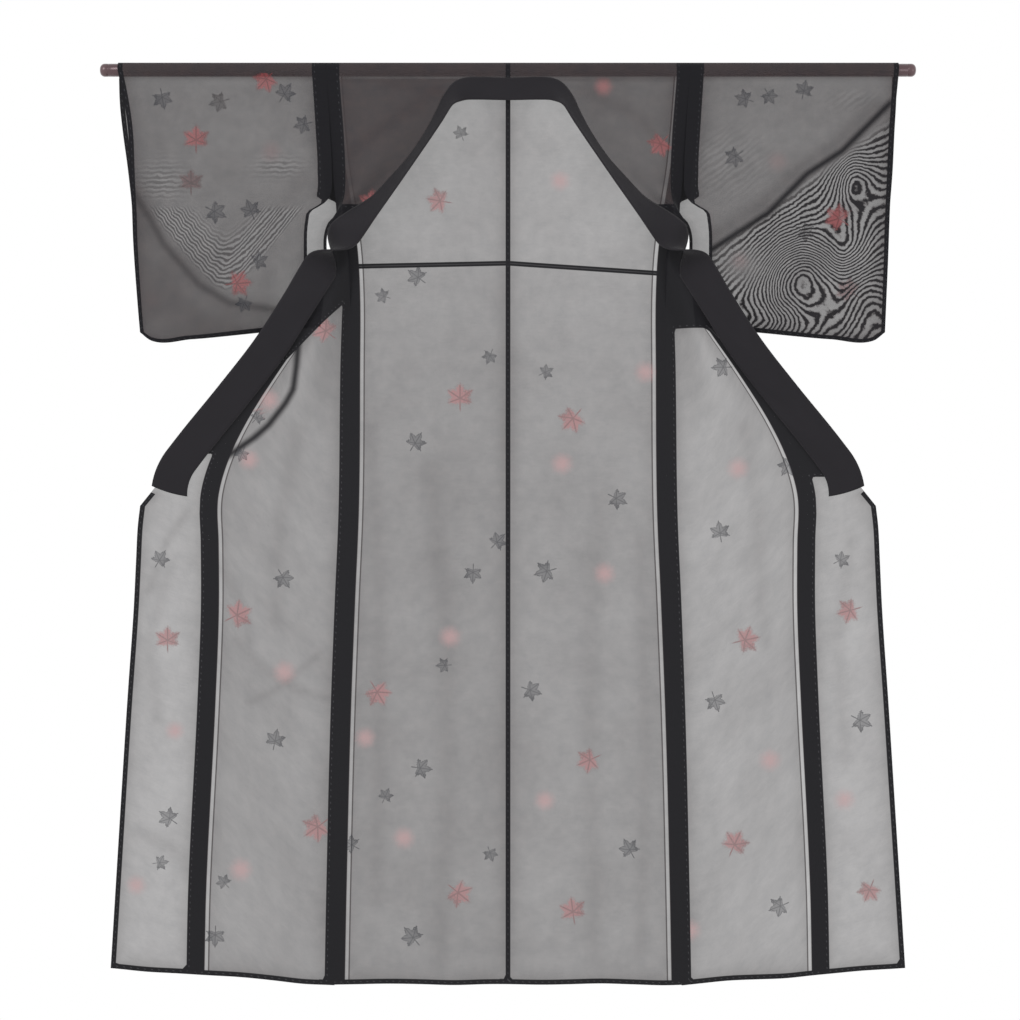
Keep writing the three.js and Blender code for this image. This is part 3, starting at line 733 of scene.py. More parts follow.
def gauze_material(name, has_tuck=0.0):
    """Sheer cloth: openness with painted shade, seams, hems, stitches, ripples, painted fold shadows
    and leaves from the mesh's marks.
    """
    material, paint, shader = new_material(name)
    uv, threads = thread_grid(paint, THREAD_PITCH)
    cloud = paint.noise(uv, 9.0, 3.0)
    mottle = paint.noise(uv, 42.0, 4.0, 0.65)
    slub = paint.streaks(uv, (40, 900, 1), 2.0)
    jag = (paint.noise(uv, 120.0, 2.0) - 0.5) * RIPPLE_JAG
    wave = paint.sum("SINE", (jag + paint.mark("ripple")) * (2 * np.pi))
    ripple = paint.step(wave, -0.75, 0.75, -1.0, 1.0) * paint.mark("ripple_depth")
    # Painted fold shadow: less light comes through the cloth along each sharp fold.
    fold = paint.step(abs(paint.mark("fold")), 0.0, FOLD_SHADE_WIDTH, -1.0, 0.0)
    fold = fold * paint.mark("fold_shade_strength") + 1.0
    seam = paint.mark("seam")
    hem = paint.mark("hem")
    seam_place = paint.step(seam, -SEAM_REACH, SEAM_REACH, ease="LINEAR")
    beside = paint.curve(seam_place, SEAM_STOPS) * SEAM_SCALE
    tuck = abs(paint.mark("tuck"))
    in_tuck = paint.step(tuck, 3.6, 4.6, has_tuck, 0.0) * paint.step(tuck, 0.2, 1.0, 0.86, 1.0)
    dense = paint.most(paint.step(hem, -0.5, 0.5), paint.step(seam, -0.5, 0.5), in_tuck)
    thin = (ripple + 1.0) * fold * beside * paint.mark("open") * (1.0 - dense)
    uneven = (cloud - 0.5) * 0.42 + 1.0
    for field, strength in ((mottle, 0.3), (slub, 0.16), (threads, -0.16)):
        uneven = (field - 0.5) * strength + uneven
    x, _, z = paint.split(paint.place())
    dash = paint.step(paint.sum("FRACT", (x + z) * (1 / STITCH_PITCH)), 0.72, 0.8)
    stitch = paint.step(abs(hem - STITCH_INSIDE), 0.3, 0.9, 1.0, 0.0) * dash
    thin = thin * uneven + BAND_OPEN + stitch * 0.018
    colour = paint.blend(mottle, YARN, YARN_WARM)
    # Painted shade: the yarn turns darker in the ripples' dark lines and along the fold shadows.
    shadow = paint.most(ripple * -0.9, 1.0 - fold)
    colour = paint.blend(paint.held(shadow), colour, DENSE_AND_SHADED_YARN)
    colour = paint.blend(dense, colour, DENSE_AND_SHADED_YARN)
    colour = paint.blend(stitch * 0.3, colour, STITCH_COLOUR)
    for word in ("one", "two"):
        dye, dark, tint = paint_leaf(paint, word)
        dye = dye * (1.0 - dense)
        leaf = paint.blend(dark, by_dye(paint, tint, *DYE_FILL), by_dye(paint, tint, *DYE_DEEP))
        seen = by_dye(paint, tint, *DYE_OPEN) * (dark * -0.6 + 1.0)
        colour = paint.blend(dye, colour, leaf)
        thin = dye * seen + thin * (1.0 - dye)
    height = cloud * 0.6 + threads
    paint.feed(shader, {
        "Base Color": colour,
        "Alpha": paint.held(1.0 - thin),
        "Roughness": slub * 0.2 + 0.66,
        "Normal": paint.out("Bump", {"Strength": 0.25, "Distance": 0.0004, "Height": height}),
        "Specular IOR Level": 0.12,
        "Sheen Weight": 0.06,
        "Sheen Roughness": 0.4,
    })
    return material


gauze = gauze_material("sheer_gauze")
tucked_gauze = gauze_material("sheer_gauze_with_tuck", 1.0)
print("gauze nodes:", len(gauze.node_tree.nodes))

# %% [markdown]
# ## Doubled gauze for the collar
# The collar is the same gauze folded over several times, so almost no light comes through and its
# weave shows only as a matt, slightly brownish black with a faint painted highlight along its edges.
# It is opaque, so its look comes from colour, roughness and a bump of threads.


# %% Doubled gauze
def collar_material(name):
    """Matt brownish black with thread ridges, long slubs and a faint painted highlight along its
    edges.
    """
    material, paint, shader = new_material(name)
    uv, threads = thread_grid(paint, THREAD_PITCH)
    slub = paint.streaks(uv, (12, 300, 1), 3.0)
    tone = paint.noise(uv, 14.0, 3.0) * 0.5 + slub * 0.5
    colour = paint.blend(tone, (0.0075, 0.0068, 0.0088, 1), (0.0155, 0.0136, 0.017, 1))
    # Painted highlight: the colour turns lighter towards both edges of the band.
    edge = paint.step(abs(paint.mark("across")), 0.9, 0.97, 0.0, 0.3)
    height = slub * 0.8 + threads
    paint.feed(shader, {
        "Base Color": paint.blend(edge, colour, (0.026, 0.024, 0.027, 1)),
        "Roughness": slub * 0.2 + 0.62,
        "Normal": paint.out("Bump", {"Strength": 0.35, "Distance": 0.0005, "Height": height}),
        "Specular IOR Level": 0.18,
        "Sheen Weight": 0.08,
        "Sheen Roughness": 0.5,
    })
    return material


doubled = collar_material("doubled_gauze")

# %% [markdown]
# ## The rod
# A thin metal tube with a glossy plum-brown lacquer and rounded caps. It is turned work, so its
# surface is a profile swept round an axis, here the X axis. The profile holds the cap's small
# radius and a fine groove where the cap is pressed in.

# %% The rod
ROUND = 48
CAP_GROOVE = 14.0


def rod_profile():
    """Distance along the rod and radius, from one tip to the other."""
    cap = np.linspace(0, np.pi / 2, 9)
    along = 8 * (1 - np.cos(cap))
    radius = ROD_RADIUS * (0.05 + 0.95 * np.sin(cap) ** 0.8)
    groove = [(CAP_GROOVE - 0.6, ROD_RADIUS), (CAP_GROOVE, ROD_RADIUS - 0.45),
              (CAP_GROOVE + 0.6, ROD_RADIUS)]
    end = np.vstack([np.stack([along, radius], axis=1), groove])
    far_end = np.stack([2 * ROD_HALF - end[::-1, 0], end[::-1, 1]], axis=1)
    middle = np.stack([np.linspace(40, 2 * ROD_HALF - 40, 40), np.full(40, ROD_RADIUS)], axis=1)
    return np.vstack([end, middle, far_end])


def make_rod(material):
    """Sweeps the profile round the X axis and closes each tip with one small disc."""
    profile = rod_profile()
    turn = np.linspace(0, 2 * np.pi, ROUND + 1)[:-1]
    x = (profile[:, 0] - ROD_HALF)[:, None]
    points = point(x, profile[:, 1:] * np.cos(turn)[None], profile[:, 1:] * np.sin(turn)[None])
    rows = len(profile)
    i = np.arange(rows - 1)[:, None] * ROUND
    j = np.arange(ROUND)[None, :]
    a, b = i + j, i + (j + 1) % ROUND
    faces = np.stack([a, b, b + ROUND, a + ROUND], axis=-1).reshape(-1, 4).tolist()
    faces.append(list(range(ROUND))[::-1])
    faces.append([(rows - 1) * ROUND + k for k in range(ROUND)])
    return new_piece("lacquered_rod", points.reshape(-1, 3) * MM, faces, material)


def lacquer_material(name):
    """Plum-brown lacquer on metal: fine flow marks along the rod and lighter, duller ends."""
    material, paint, shader = new_material(name)
    streak = paint.streaks(paint.place(), (8, 260, 260), 3.0)
    end = paint.step(abs(paint.split(paint.place())[0]), 0.672, 0.69)
    colour = paint.blend(streak, (0.05, 0.024, 0.028, 1), (0.085, 0.042, 0.048, 1))
    paint.feed(shader, {
        "Base Color": paint.blend(end * 0.35, colour, (0.16, 0.1, 0.105, 1)),
        "Roughness": end * 0.12 + (streak * 0.14 + 0.16),
        "Metallic": 0.35,
        "Coat Weight": 0.4,
        "Coat Roughness": 0.08,
    })
    return material


rod = make_rod(lacquer_material("rod_lacquer_gloss"))
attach(rod, "root")
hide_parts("rod")

# %% [markdown]
# ## Body panels
# Each body panel is one length of cloth: it starts at the back hem, runs up over the rod and down
# the front to the front hem. The grid follows it row by row. On the back a row is level; over the
# rod it follows an arc; on the front it is strung between the side seam and the collar, and lower
# down between the side seam and the okumi seam. Near the neck the rows reach to the centre seam.

# %% Body panel's shape
ROW_STEP = 8.0
COLUMNS = np.linspace(0, 1, 37)
NECK_COLUMNS = np.linspace(1, 0, 10)[1:]
ARC_STEPS = 12
COLLAR_TUCK = 2.0
BACK_HEM_Z = -1549.0


def rows_from(start, end):
    """Evenly spaced values from start to end, about one row step apart."""
    return np.linspace(start, end, int(abs(end - start) / ROW_STEP) + 2)


def whole_rows(side, out, y, z):
    """Level rows from the side to the centre line, at the given heights."""
    x = np.concatenate([
        mix(out[:, None], LEVEL, COLUMNS), LEVEL * NECK_COLUMNS * np.ones_like(out)[:, None],
    ], axis=1)
    return hang(point(side * x, y[:, None], z[:, None]))


def back_rows(side):
    """Back panel: y goes from the side seam's depth to the middle's by a soft step."""
    z = rows_from(BACK_HEM_Z, -4)
    points = whole_rows(side, side_out(z), side_y(z), z)
    middle = mix(6, DRAPE, smooth(1 + z / 900))[:, None]
    share = smooth((side_out(z)[:, None] - np.abs(points[..., 0])) / side_out(z)[:, None])
    folded = points[..., 1] - side_y(z)[:, None]
    points[..., 1] = mix(side_y(z)[:, None], middle, share) + folded
    return points


def shoulder_rows(side):
    """Half a circle over the rod."""
    angle = np.linspace(0, np.pi, ARC_STEPS + 1)
    out = np.full_like(angle, side_out(0))
    return whole_rows(side, out, DRAPE * np.cos(angle), DRAPE * np.sin(angle))


def beside_collar(side, p):
    """Row ends hidden inside the collar's sewn edge."""
    edge = collar_point(side, p, -1)
    middle = collar_point(side, p, 0)
    inward = (middle - edge) / np.linalg.norm(middle - edge, axis=-1, keepdims=True)
    return edge + COLLAR_TUCK * inward


def with_neck(points):
    """Repeats each row's end where the neck columns would be, so that all rows are as long."""
    ends = np.repeat(points[:, -1:], len(NECK_COLUMNS), axis=1)
    return np.concatenate([points, ends], axis=1)


def front_rows(side):
    """Front panel: rows strung to the collar first and to the okumi seam below it."""
    out, y, z, bow_out, bow_y = [through(UPPER_FRONT, k) for k in range(1, 6)]
    p = np.linspace(LEVEL, UPPER_END, 58)
    outer = point(side * out(p), y(p), z(p))
    upper = rows_between(side, outer, beside_collar(side, p), COLUMNS, bow_out(p), bow_y(p))
    side_z = rows_from(-402, -1550)
    okumi_z = through(LOWER_FRONT)(side_z)
    outer = point(side * side_out(side_z), side_y(side_z), side_z)
    inner = point(side * okumi_out(okumi_z), okumi_y(okumi_z), okumi_z)
    lower = rows_between(side, outer, inner, COLUMNS, 0.0, through(LOWER_FRONT, 2)(side_z))
    return with_neck(upper), with_neck(lower)


def body_grid(side):
    """All rows of one panel, with the numbers of its parts' first rows."""
    upper, lower = front_rows(side)
    neck = upper[:1].copy()
    x = side * LEVEL * NECK_COLUMNS
    neck[0, len(COLUMNS):, 0] = x
    parts = [back_rows(side), shoulder_rows(side), neck, upper[1:], lower]
    return np.concatenate(parts), np.cumsum([0] + [len(part) for part in parts])


# %% [markdown]
# ## Where the body's cloth is dense
# A seam shows as a dark band, because its allowances are folded to one side. Bands are stored as
# a distance to the band's edge, positive inside, so that the material can draw a crisp edge
# however coarse the mesh is. The back also has a small tuck across the waist, and painted shade
# lowers its openness a little where the cloth turns away.

# %% Body panel's marks
# Columns: x, height of the tuck
TUCK_LINE = np.array([(-300, -333), (0, -326), (300, -347)])
BACK_OPEN_LOW = 0.262
BACK_OPEN_HIGH = 0.31
BACK_SHARE = {-1: 0.98, 1: 1.07}
ROD_WRAP = 0.22
ARMHOLE_FRONT_BAND = 23.0
ARMHOLE_FRONT_END = -300.0
# Where the front bunches up behind the collar's half turn, in picture units: the lowest level of
# the dark part on each side, its highest level, its inner end and the slant along the collar
BUNCH_BOTTOM = {-1: 303.0, 1: 329.0}
BUNCH_TOP = 206.0
BUNCH_INNER = 352.0
BUNCH_SLANT = {-1: 648.0, 1: 640.0}
FRONT_OPEN_HIGH = {-1: 0.07, 1: 0.26}
FRONT_OPEN_LOW = {-1: 0.285, 1: 0.345}
# Where each side's cloth changes its openness: height in millimetres, and over what length
FRONT_CHANGE = (-290.0, 110.0)
BACK_CHANGE = (-600.0, 400.0)
WRAP_CHANGE = (-15.0, 6.0)
# Painted shade of soft folds in picture units: path, half width, strength
FRONT_CREASE_SHADES = [
    ([(350, 155), (385, 128), (440, 90)], 8, 0.45), ([(385, 85), (440, 92)], 5, 0.4),
    ([(665, 150), (640, 120), (585, 92)], 7, 0.2),
    ([(236, 640), (262, 668), (300, 690), (335, 700)], 5, 0.14),
    ([(250, 702), (275, 690), (318, 655)], 4, 0.14),
    ([(215, 560), (240, 600), (250, 640)], 6, 0.12),
    ([(300, 430), (280, 520), (276, 620)], 9, 0.12),
    ([(742, 430), (758, 520), (764, 640)], 9, 0.12),
]
# Painted shadows of sharp folds of the front, one on each side, in picture units, and how dark they
# are
FRONT_FOLD_SHADES = {
    -1: ([(299, 352), (298, 367), (295, 390), (287, 404), (270, 425), (256, 437), (240, 448)], 0.95),
    1: ([(781, 436), (791, 455), (799, 470)], 0.5),
}
# Painted shade of soft folds on the back, in picture units: path, half width, strength
BACK_CREASE_SHADES = [
    ([(430, 470), (446, 620), (448, 800), (440, 960)], 12, 0.14),
    ([(600, 500), (590, 680), (596, 960)], 12, 0.12),
    ([(372, 430), (380, 600), (376, 900)], 9, 0.12),
    ([(640, 540), (646, 760), (640, 950)], 8, 0.12),
    ([(500, 290), (512, 360), (508, 460)], 8, 0.08),
]


def crease_shade_factor(points, creases):
    """Share of light left after the painted shade of soft folds: one minus a bell curve for each."""
    left = np.ones(points.shape[:-1])
    for path, half_width, strength in creases:
        away = to_line(points, from_picture(path))[0] / (half_width * UNIT)
        left *= 1 - strength * np.exp(-(away**2))
    return left


def rise_over(z, change):
    """Soft step upwards, from a height and over a length."""
    return smooth((z - change[0]) / change[1])


def over_rod(z):
    """Share of light left where the cloth wraps the rod."""
    return mix(1.0, ROD_WRAP, rise_over(z, WRAP_CHANGE))


def turned_away(points):
    """How much denser cloth looks where it leans away from the front, from the slope across and down
    the grid: it sets painted shade in the openness.
    """
    across = np.gradient(points, axis=1)
    down = np.gradient(points, axis=0)
    normal = np.cross(across, down)
    length = np.maximum(np.linalg.norm(normal, axis=-1), 1e-9)
    return np.clip(np.abs(normal[..., 1]) / length, 0.3, 1)


def bunched(side, points):
    """Distance into the dark bunched part of the front: an upright block and a slanted side."""
    across = PICTURE_CENTRE - np.abs(points[..., 0]) / UNIT
    down = PICTURE_ROD - points[..., 2] / UNIT
    low = BUNCH_BOTTOM[side]
    block = np.minimum(np.minimum(low - down, down - BUNCH_TOP), BUNCH_INNER - across)
    slant = np.minimum((BUNCH_SLANT[side] - across - down) / np.sqrt(2), down - BUNCH_TOP)
    return np.maximum(block, slant) * UNIT


def body_marks(side, points, starts):
    """Distances into seams and hems, openness with painted shade, and painted fold shadows, for each
    point of a body panel.
    """
    rows = np.broadcast_to(np.arange(len(points))[:, None], points.shape[:-1])
    x, z = np.abs(points[..., 0]), points[..., 2]
    on_back = rows < starts[1]
    before_front = rows < starts[3]
    on_lower = rows >= starts[4]
    inner = points[:, len(COLUMNS) - 1:len(COLUMNS)]
    upper_front = ~on_back & ~on_lower & (z > ARMHOLE_FRONT_END)
    side_band = np.where(upper_front, ARMHOLE_FRONT_BAND, SIDE_BAND)
    side_band = side_band - away_from(points, points[:, :1])
    seam = np.where(on_lower, SEAM_BAND - away_from(points, inner), FAR)
    seam = np.where(on_back, side_band, seam)
    hem = np.where(before_front, CENTRE_BAND - x, bunched(side, points))
    hem = np.where(on_back, np.maximum(hem, HEM - (z - BACK_HEM_Z)), np.maximum(hem, side_band))
    from_hem = away_from(points, points[-1:])
    hem = np.where(on_lower, np.maximum(hem, HEM - from_hem), hem)
    tuck_z = np.interp(points[..., 0], TUCK_LINE[:, 0], TUCK_LINE[:, 1])
    low = smooth((FRONT_CHANGE[0] - z) / FRONT_CHANGE[1])
    front_open = mix(FRONT_OPEN_HIGH[side], FRONT_OPEN_LOW[side], low)
    back_open = mix(BACK_OPEN_LOW, BACK_OPEN_HIGH, rise_over(z, BACK_CHANGE)) * BACK_SHARE[side]
    # Painted shade lowers the openness along soft folds, where the cloth turns away from the front
    # and beside the bands.
    front_open = front_open * crease_shade_factor(points, FRONT_CREASE_SHADES)
    back_open = back_open * crease_shade_factor(points, BACK_CREASE_SHADES)
    openness = np.where(before_front, back_open, front_open) ** (1 / turned_away(points)) ** 0.6
    openness = openness * over_rod(z) * shade_beside_bands(np.maximum(hem, seam))
    tuck = np.where(on_back, z - tuck_z, FAR)
    marks = {"seam": seam, "hem": hem, "open": openness, "tuck": tuck}
    return marks | painted_fold_shade(points, FRONT_FOLD_SHADES[side], ~before_front)


def both_faces(points, front, back, on_front):
    """Each point's leaf marks, from the front list or the back list."""
    front, back = leaf_marks(points, front), leaf_marks(points, back)
    fits = {2: on_front, 3: on_front[..., None]}
    return {key: np.where(fits[front[key].ndim], front[key], back[key]) for key in front}


SIDES = (-1, "right"), (1, "left")

for side, word in SIDES:
    grid, starts = body_grid(side)
    rows = np.broadcast_to(np.arange(len(grid))[:, None], grid.shape[:-1])
    marks = body_marks(side, grid, starts)
    marks.update(both_faces(grid, FRONT_LEAVES, BACK_LEAVES, rows >= starts[1]))
    columns = np.broadcast_to(np.arange(grid.shape[1]), grid.shape[:-1])
    kept = (rows < starts[2]) | (columns < len(COLUMNS) - 1)
    faces = face_grid(*grid.shape[:2])[kept[:-1, :-1].ravel()]
    body = make_sheet("body_cloth_" + word, grid, faces, marks, tucked_gauze, flip=side > 0)
    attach(body, "root")
    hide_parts("body_" + word)

# %% [markdown]
# ## Overlap panels
# The okumi is a narrow panel sewn to the front's edge. Its upper part runs up behind the collar,
# which is sewn to it, and its lower part hangs free below the collar's end and makes the
# garment's front edge. A second grid takes over the same seam line as the body, so no gap shows.

# %% Overlap panels
OKUMI_COLUMNS = np.linspace(0, 1, 22)
BEHIND_COLLAR = 2.1


def okumi_grid(side):
    """Rows from the shared seam to a line behind the collar, and below it to the front edge."""
    seam_z = rows_from(-404, -728)
    p = through(OKUMI_ON_COLLAR)(seam_z)
    across = through(OKUMI_ON_COLLAR, 2)(seam_z)
    behind = collar_point(side, p, across)
    behind[:, 1] += BEHIND_COLLAR
    seam = point(side * okumi_out(seam_z), okumi_y(seam_z), seam_z)
    upper = rows_between(side, seam, behind, OKUMI_COLUMNS)
    low_z = rows_from(-752, -1532)
    front_z = through(OKUMI_ON_FRONT)(low_z)
    seam = point(side * okumi_out(low_z), okumi_y(low_z), low_z)
    outer = point(side * front_out(front_z), front_y(front_z), front_z)
    lower = rows_between(side, seam, outer, OKUMI_COLUMNS)
    between = [mix(upper[-1:], lower[:1], share) for share in (0.33, 0.67)]
    return np.concatenate([upper, *between, lower]), len(upper)


OKUMI_OPEN = 0.385
OKUMI_DENSE_ABOVE = {-1: -650.0, 1: -689.0}
# Painted shade of soft folds on the okumi, in picture units: path, half width, strength
OKUMI_CREASE_SHADES = [
    ([(172, 560), (150, 640), (158, 720)], 7, 0.12),
    ([(140, 830), (175, 850), (196, 880)], 7, 0.12),
    ([(188, 512), (168, 540), (150, 590)], 5, 0.16),
    ([(850, 540), (838, 640), (846, 760)], 8, 0.12),
]

for side, word in SIDES:
    grid, first_low = okumi_grid(side)
    rows = np.arange(len(grid))[:, None]
    edge = np.where(rows >= first_low, HEM - away_from(grid, grid[:, -1:]), FAR)
    hem = np.maximum(OKUMI_BAND - away_from(grid, grid[:, :1]), edge)
    hem = np.maximum(hem, HEM - away_from(grid, grid[-1:]))
    hem = np.maximum(hem, grid[..., 2] - OKUMI_DENSE_ABOVE[side])
    # Painted shade lowers the openness along soft folds, beside the bands and where the cloth turns
    # away from the front.
    openness = OKUMI_OPEN * crease_shade_factor(grid, OKUMI_CREASE_SHADES) * shade_beside_bands(hem)
    openness = openness ** (1 / turned_away(grid)) ** 0.6
    marks = {"hem": hem, "seam": np.full(hem.shape, FAR), "open": openness}
    marks.update(leaf_marks(grid, OKUMI_LEAVES))
    faces = face_grid(*grid.shape[:2])
    okumi = make_sheet("okumi_cloth_" + word, grid, faces, marks, gauze, flip=side > 0)
    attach(okumi, "root")
    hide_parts("okumi_" + word)

# %% [markdown]
# ## Sleeves
# A kimono sleeve is a flat bag. Its top lies over the rod, its bottom is folded and its outer end
# is sewn shut below the cuff. Its inner end is sewn to the body at the shoulder and open below.
# The grid is a ring: down the front layer, round the bottom, up the back layer and over the rod.

# %% Sleeve's shape
SLEEVE_COLUMNS = np.linspace(0, 1, 80)
SLEEVE_ROWS = 72
FOLD_HALF_DEPTH = 3.0
CLOSED_HALF_DEPTH = 0.5
ARMHOLE_LAP = 1.4
# Slack folds of the front layer in millimetres: side, start, end, half width, how far forward
SLEEVE_FOLDS = [
    (-1, (650, -150), (470, -420), 24, 7), (1, (650, -60), (360, -300), 20, 9),
    (1, (640, -210), (420, -430), 26, 5),
]


def slack(side, out, z):
    """Height of the slack folds: a half sine along each fold and a bell curve across it."""
    rise = np.zeros_like(out)
    for which, start, end, spread, height in SLEEVE_FOLDS:
        if which == side:
            way = np.subtract(end, start)
            here = np.stack([out, z], axis=-1) - np.array(start)
            t = np.clip((here @ way) / (way @ way), 0, 1)
            away = np.linalg.norm(here - t[..., None] * way, axis=-1) / spread
            rise += height * np.sin(np.pi * t) * np.exp(-(away**2))
    return rise


def sleeve_layer(side, layer, down):
    """One layer: -1 is the front and 1 the back. down is the share of the sleeve's depth."""
    across = SLEEVE_COLUMNS[None, :]
    down = down[:, None]
    z = -through(SLEEVE_DEPTH)(across) * down
    column = 1 if layer < 0 else 2
    inner = through(SLEEVE_INNER, column)(z) - ARMHOLE_LAP * smooth((200 + z) / 40)
    out = mix(inner, through(SLEEVE_OUTER[side], column)(z), across)
    belly = DRAPE + 3 * np.sin(np.pi * down)
    middle = mix(belly, FOLD_HALF_DEPTH, smooth((down - 0.86) / 0.14))
    cuff = mix(DRAPE, CLOSED_HALF_DEPTH, smooth(-z / CUFF_DEPTH))
    depth = mix(middle, np.minimum(middle, cuff), smooth((across - 0.7) / 0.3))
    if layer < 0:
        depth = depth + slack(side, out, z)
    return point(side * out, layer * depth, z)


def sleeve_grid(side):
    """Ring of rows, with the row numbers where the front layer and the back layer end."""
    down = np.linspace(1, 0.03, SLEEVE_ROWS)
    front = sleeve_layer(side, -1, down)
    back = sleeve_layer(side, 1, down[::-1])
    angle = np.linspace(np.pi, 0, ARC_STEPS + 1)[:, None]
    inner = through(SLEEVE_INNER)(0) - ARMHOLE_LAP
    out = mix(inner, through(SLEEVE_OUTER[side])(0), SLEEVE_COLUMNS[None, :])
    over = point(side * out, DRAPE * np.cos(angle), DRAPE * np.sin(angle))
    bottom = mix(front[:1], back[-1:], 0.5)
    bottom[..., 2] -= 0.9
    return np.concatenate([front, over, back, bottom]), len(front), len(front) + len(over)


# %% [markdown]
# ## Ripples, folds and edges of the sleeves
# Where the two layers of a sleeve lie almost flat on each other, their threads make contour lines
# like wood grain. Each sleeve has its own hills of numbers: an even slope gives straight lines, a
# hill gives ovals, and a fold divides a calm half from a lively one.

# %% Sleeve's marks
SLEEVE_OPEN_FRONT = 0.47
SLEEVE_OPEN_BACK = 0.31
RIPPLE_STEP = {-1: 8.2, 1: 9.6}
SLEEVE_EDGE = 5.5
ARMHOLE_BAND = 24.0
ARMHOLE_DEPTH = 225.0
# Painted shade of soft folds on the sleeves' front layers, in picture units: path, half width,
# strength
SLEEVE_CREASE_SHADES = [
    ([(128, 180), (150, 215), (165, 245), (200, 285), (230, 305), (290, 315)], 9, 0.3),
    ([(150, 235), (170, 285), (200, 322)], 14, 0.16),
    ([(708, 240), (762, 206), (800, 169), (836, 145), (874, 108)], 9, 0.3),
    ([(868, 170), (835, 235), (780, 300)], 10, 0.14),
    ([(300, 180), (270, 230), (262, 300)], 10, 0.12),
]
# Painted shadow of one sharp fold on each sleeve, in picture units, and how dark it is
SLEEVE_FOLD_SHADES = {
    -1: ([(136, 196), (150, 218), (165, 245), (200, 285), (230, 303), (290, 312)], 0.4),
    1: ([(716, 247), (767, 214), (806, 175), (841, 152), (880, 113)], 0.95),
}
# Hills in picture units: centre, reach across and down, height in lines
HILLS_RIGHT = [
    ((797, 277), (34, 38), 11.0), ((853, 180), (20, 25), 6.5), ((762, 322), (44, 18), -4.5),
    ((842, 248), (22, 24), -5.0), ((866, 300), (16, 30), 3.0),
]
# The fold between the calm and the lively part, and a patch without ripples
LIVELY_EDGE = [(880, 120), (705, 250)]
FLAT_PATCH = (740, 266), (20, 16)
CALM_PATCHES = [((722, 165), (40, 30)), ((852, 100), (22, 8))]
# Short level bars on the other sleeve, and its areas of painted shade: centre, reach, strength
BARS = [((162, 182), (22, 18)), ((280, 168), (20, 9))]
SHADED_AREAS = [
    ((160, 295), (45, 50), 0.5), ((215, 325), (50, 22), 0.4), ((140, 230), (14, 50), 0.35),
]
# Nested chevrons in picture units: middle, slope, roundness, and where the arms end
VEE_MIDDLE, VEE_SLOPE, VEE_ROUND = 226.0, 1.25, 14.0
VEE_LOW, VEE_TOP = 292.0, 205.0


def bell(points, centre, reach):
    """Bell curve in the picture's plane round a centre, with its own reach across and down."""
    offset = (points[..., [0, 2]] - from_picture(centre)) / (np.array(reach) * UNIT)
    return np.exp(-np.sum(offset**2, axis=-1))


def ripples(side, points):
    """Line number, depth of the ripples and mean light at each point of the front layer; the mean
    light holds painted shade.
    """
    x, z = points[..., 0], points[..., 2]
    if side > 0:
        fold_start, fold_end = from_picture(LIVELY_EDGE)
        way = (fold_end - fold_start) / np.linalg.norm(fold_end - fold_start)
        below = (x - fold_start[0]) * -way[1] + (z - fold_start[1]) * way[0]
        below = below * np.sign(np.dot([-way[1], way[0]], (0, -1)))
        number = below / RIPPLE_STEP[side] + 0.12 * np.sin(x / 6.5) + 0.12 * np.sin((x - z) / 9.5)
        for centre, reach, height in HILLS_RIGHT:
            number = number + height * bell(points, centre, reach)
        lively = smooth((below - 3) / 24)
        flat_patch = bell(points, *FLAT_PATCH)
        depth = 0.97 * lively * (1 - 0.9 * flat_patch)
        calm = 0.12 * sum(bell(points, *patch) for patch in CALM_PATCHES)
        return number, depth + calm * (1 - lively), 1 - 0.12 * lively * (1 - flat_patch)
    across = PICTURE_CENTRE + x / UNIT - VEE_MIDDLE
    down = PICTURE_ROD - z / UNIT
    bent = np.sqrt(across**2 + VEE_ROUND**2) - VEE_ROUND
    level = down + VEE_SLOPE * bent
    wobble = 1.1 * np.sin((across + 0.6 * down) / 2.6)
    inside = smooth((level - 225) / 30) * smooth((VEE_LOW - level) / 7) * smooth((down - VEE_TOP) / 8)
    bars = sum(bell(points, *bar) for bar in BARS)
    use_vee = down > VEE_TOP - 1
    number = np.where(use_vee, level + wobble, down + 0.5 * wobble) * UNIT / RIPPLE_STEP[side]
    light = 1.0
    for centre, reach, strength in SHADED_AREAS:
        light = light * (1 - strength * bell(points, centre, reach))
    return number, np.where(use_vee, 0.55 * inside, 0.32 * bars), light


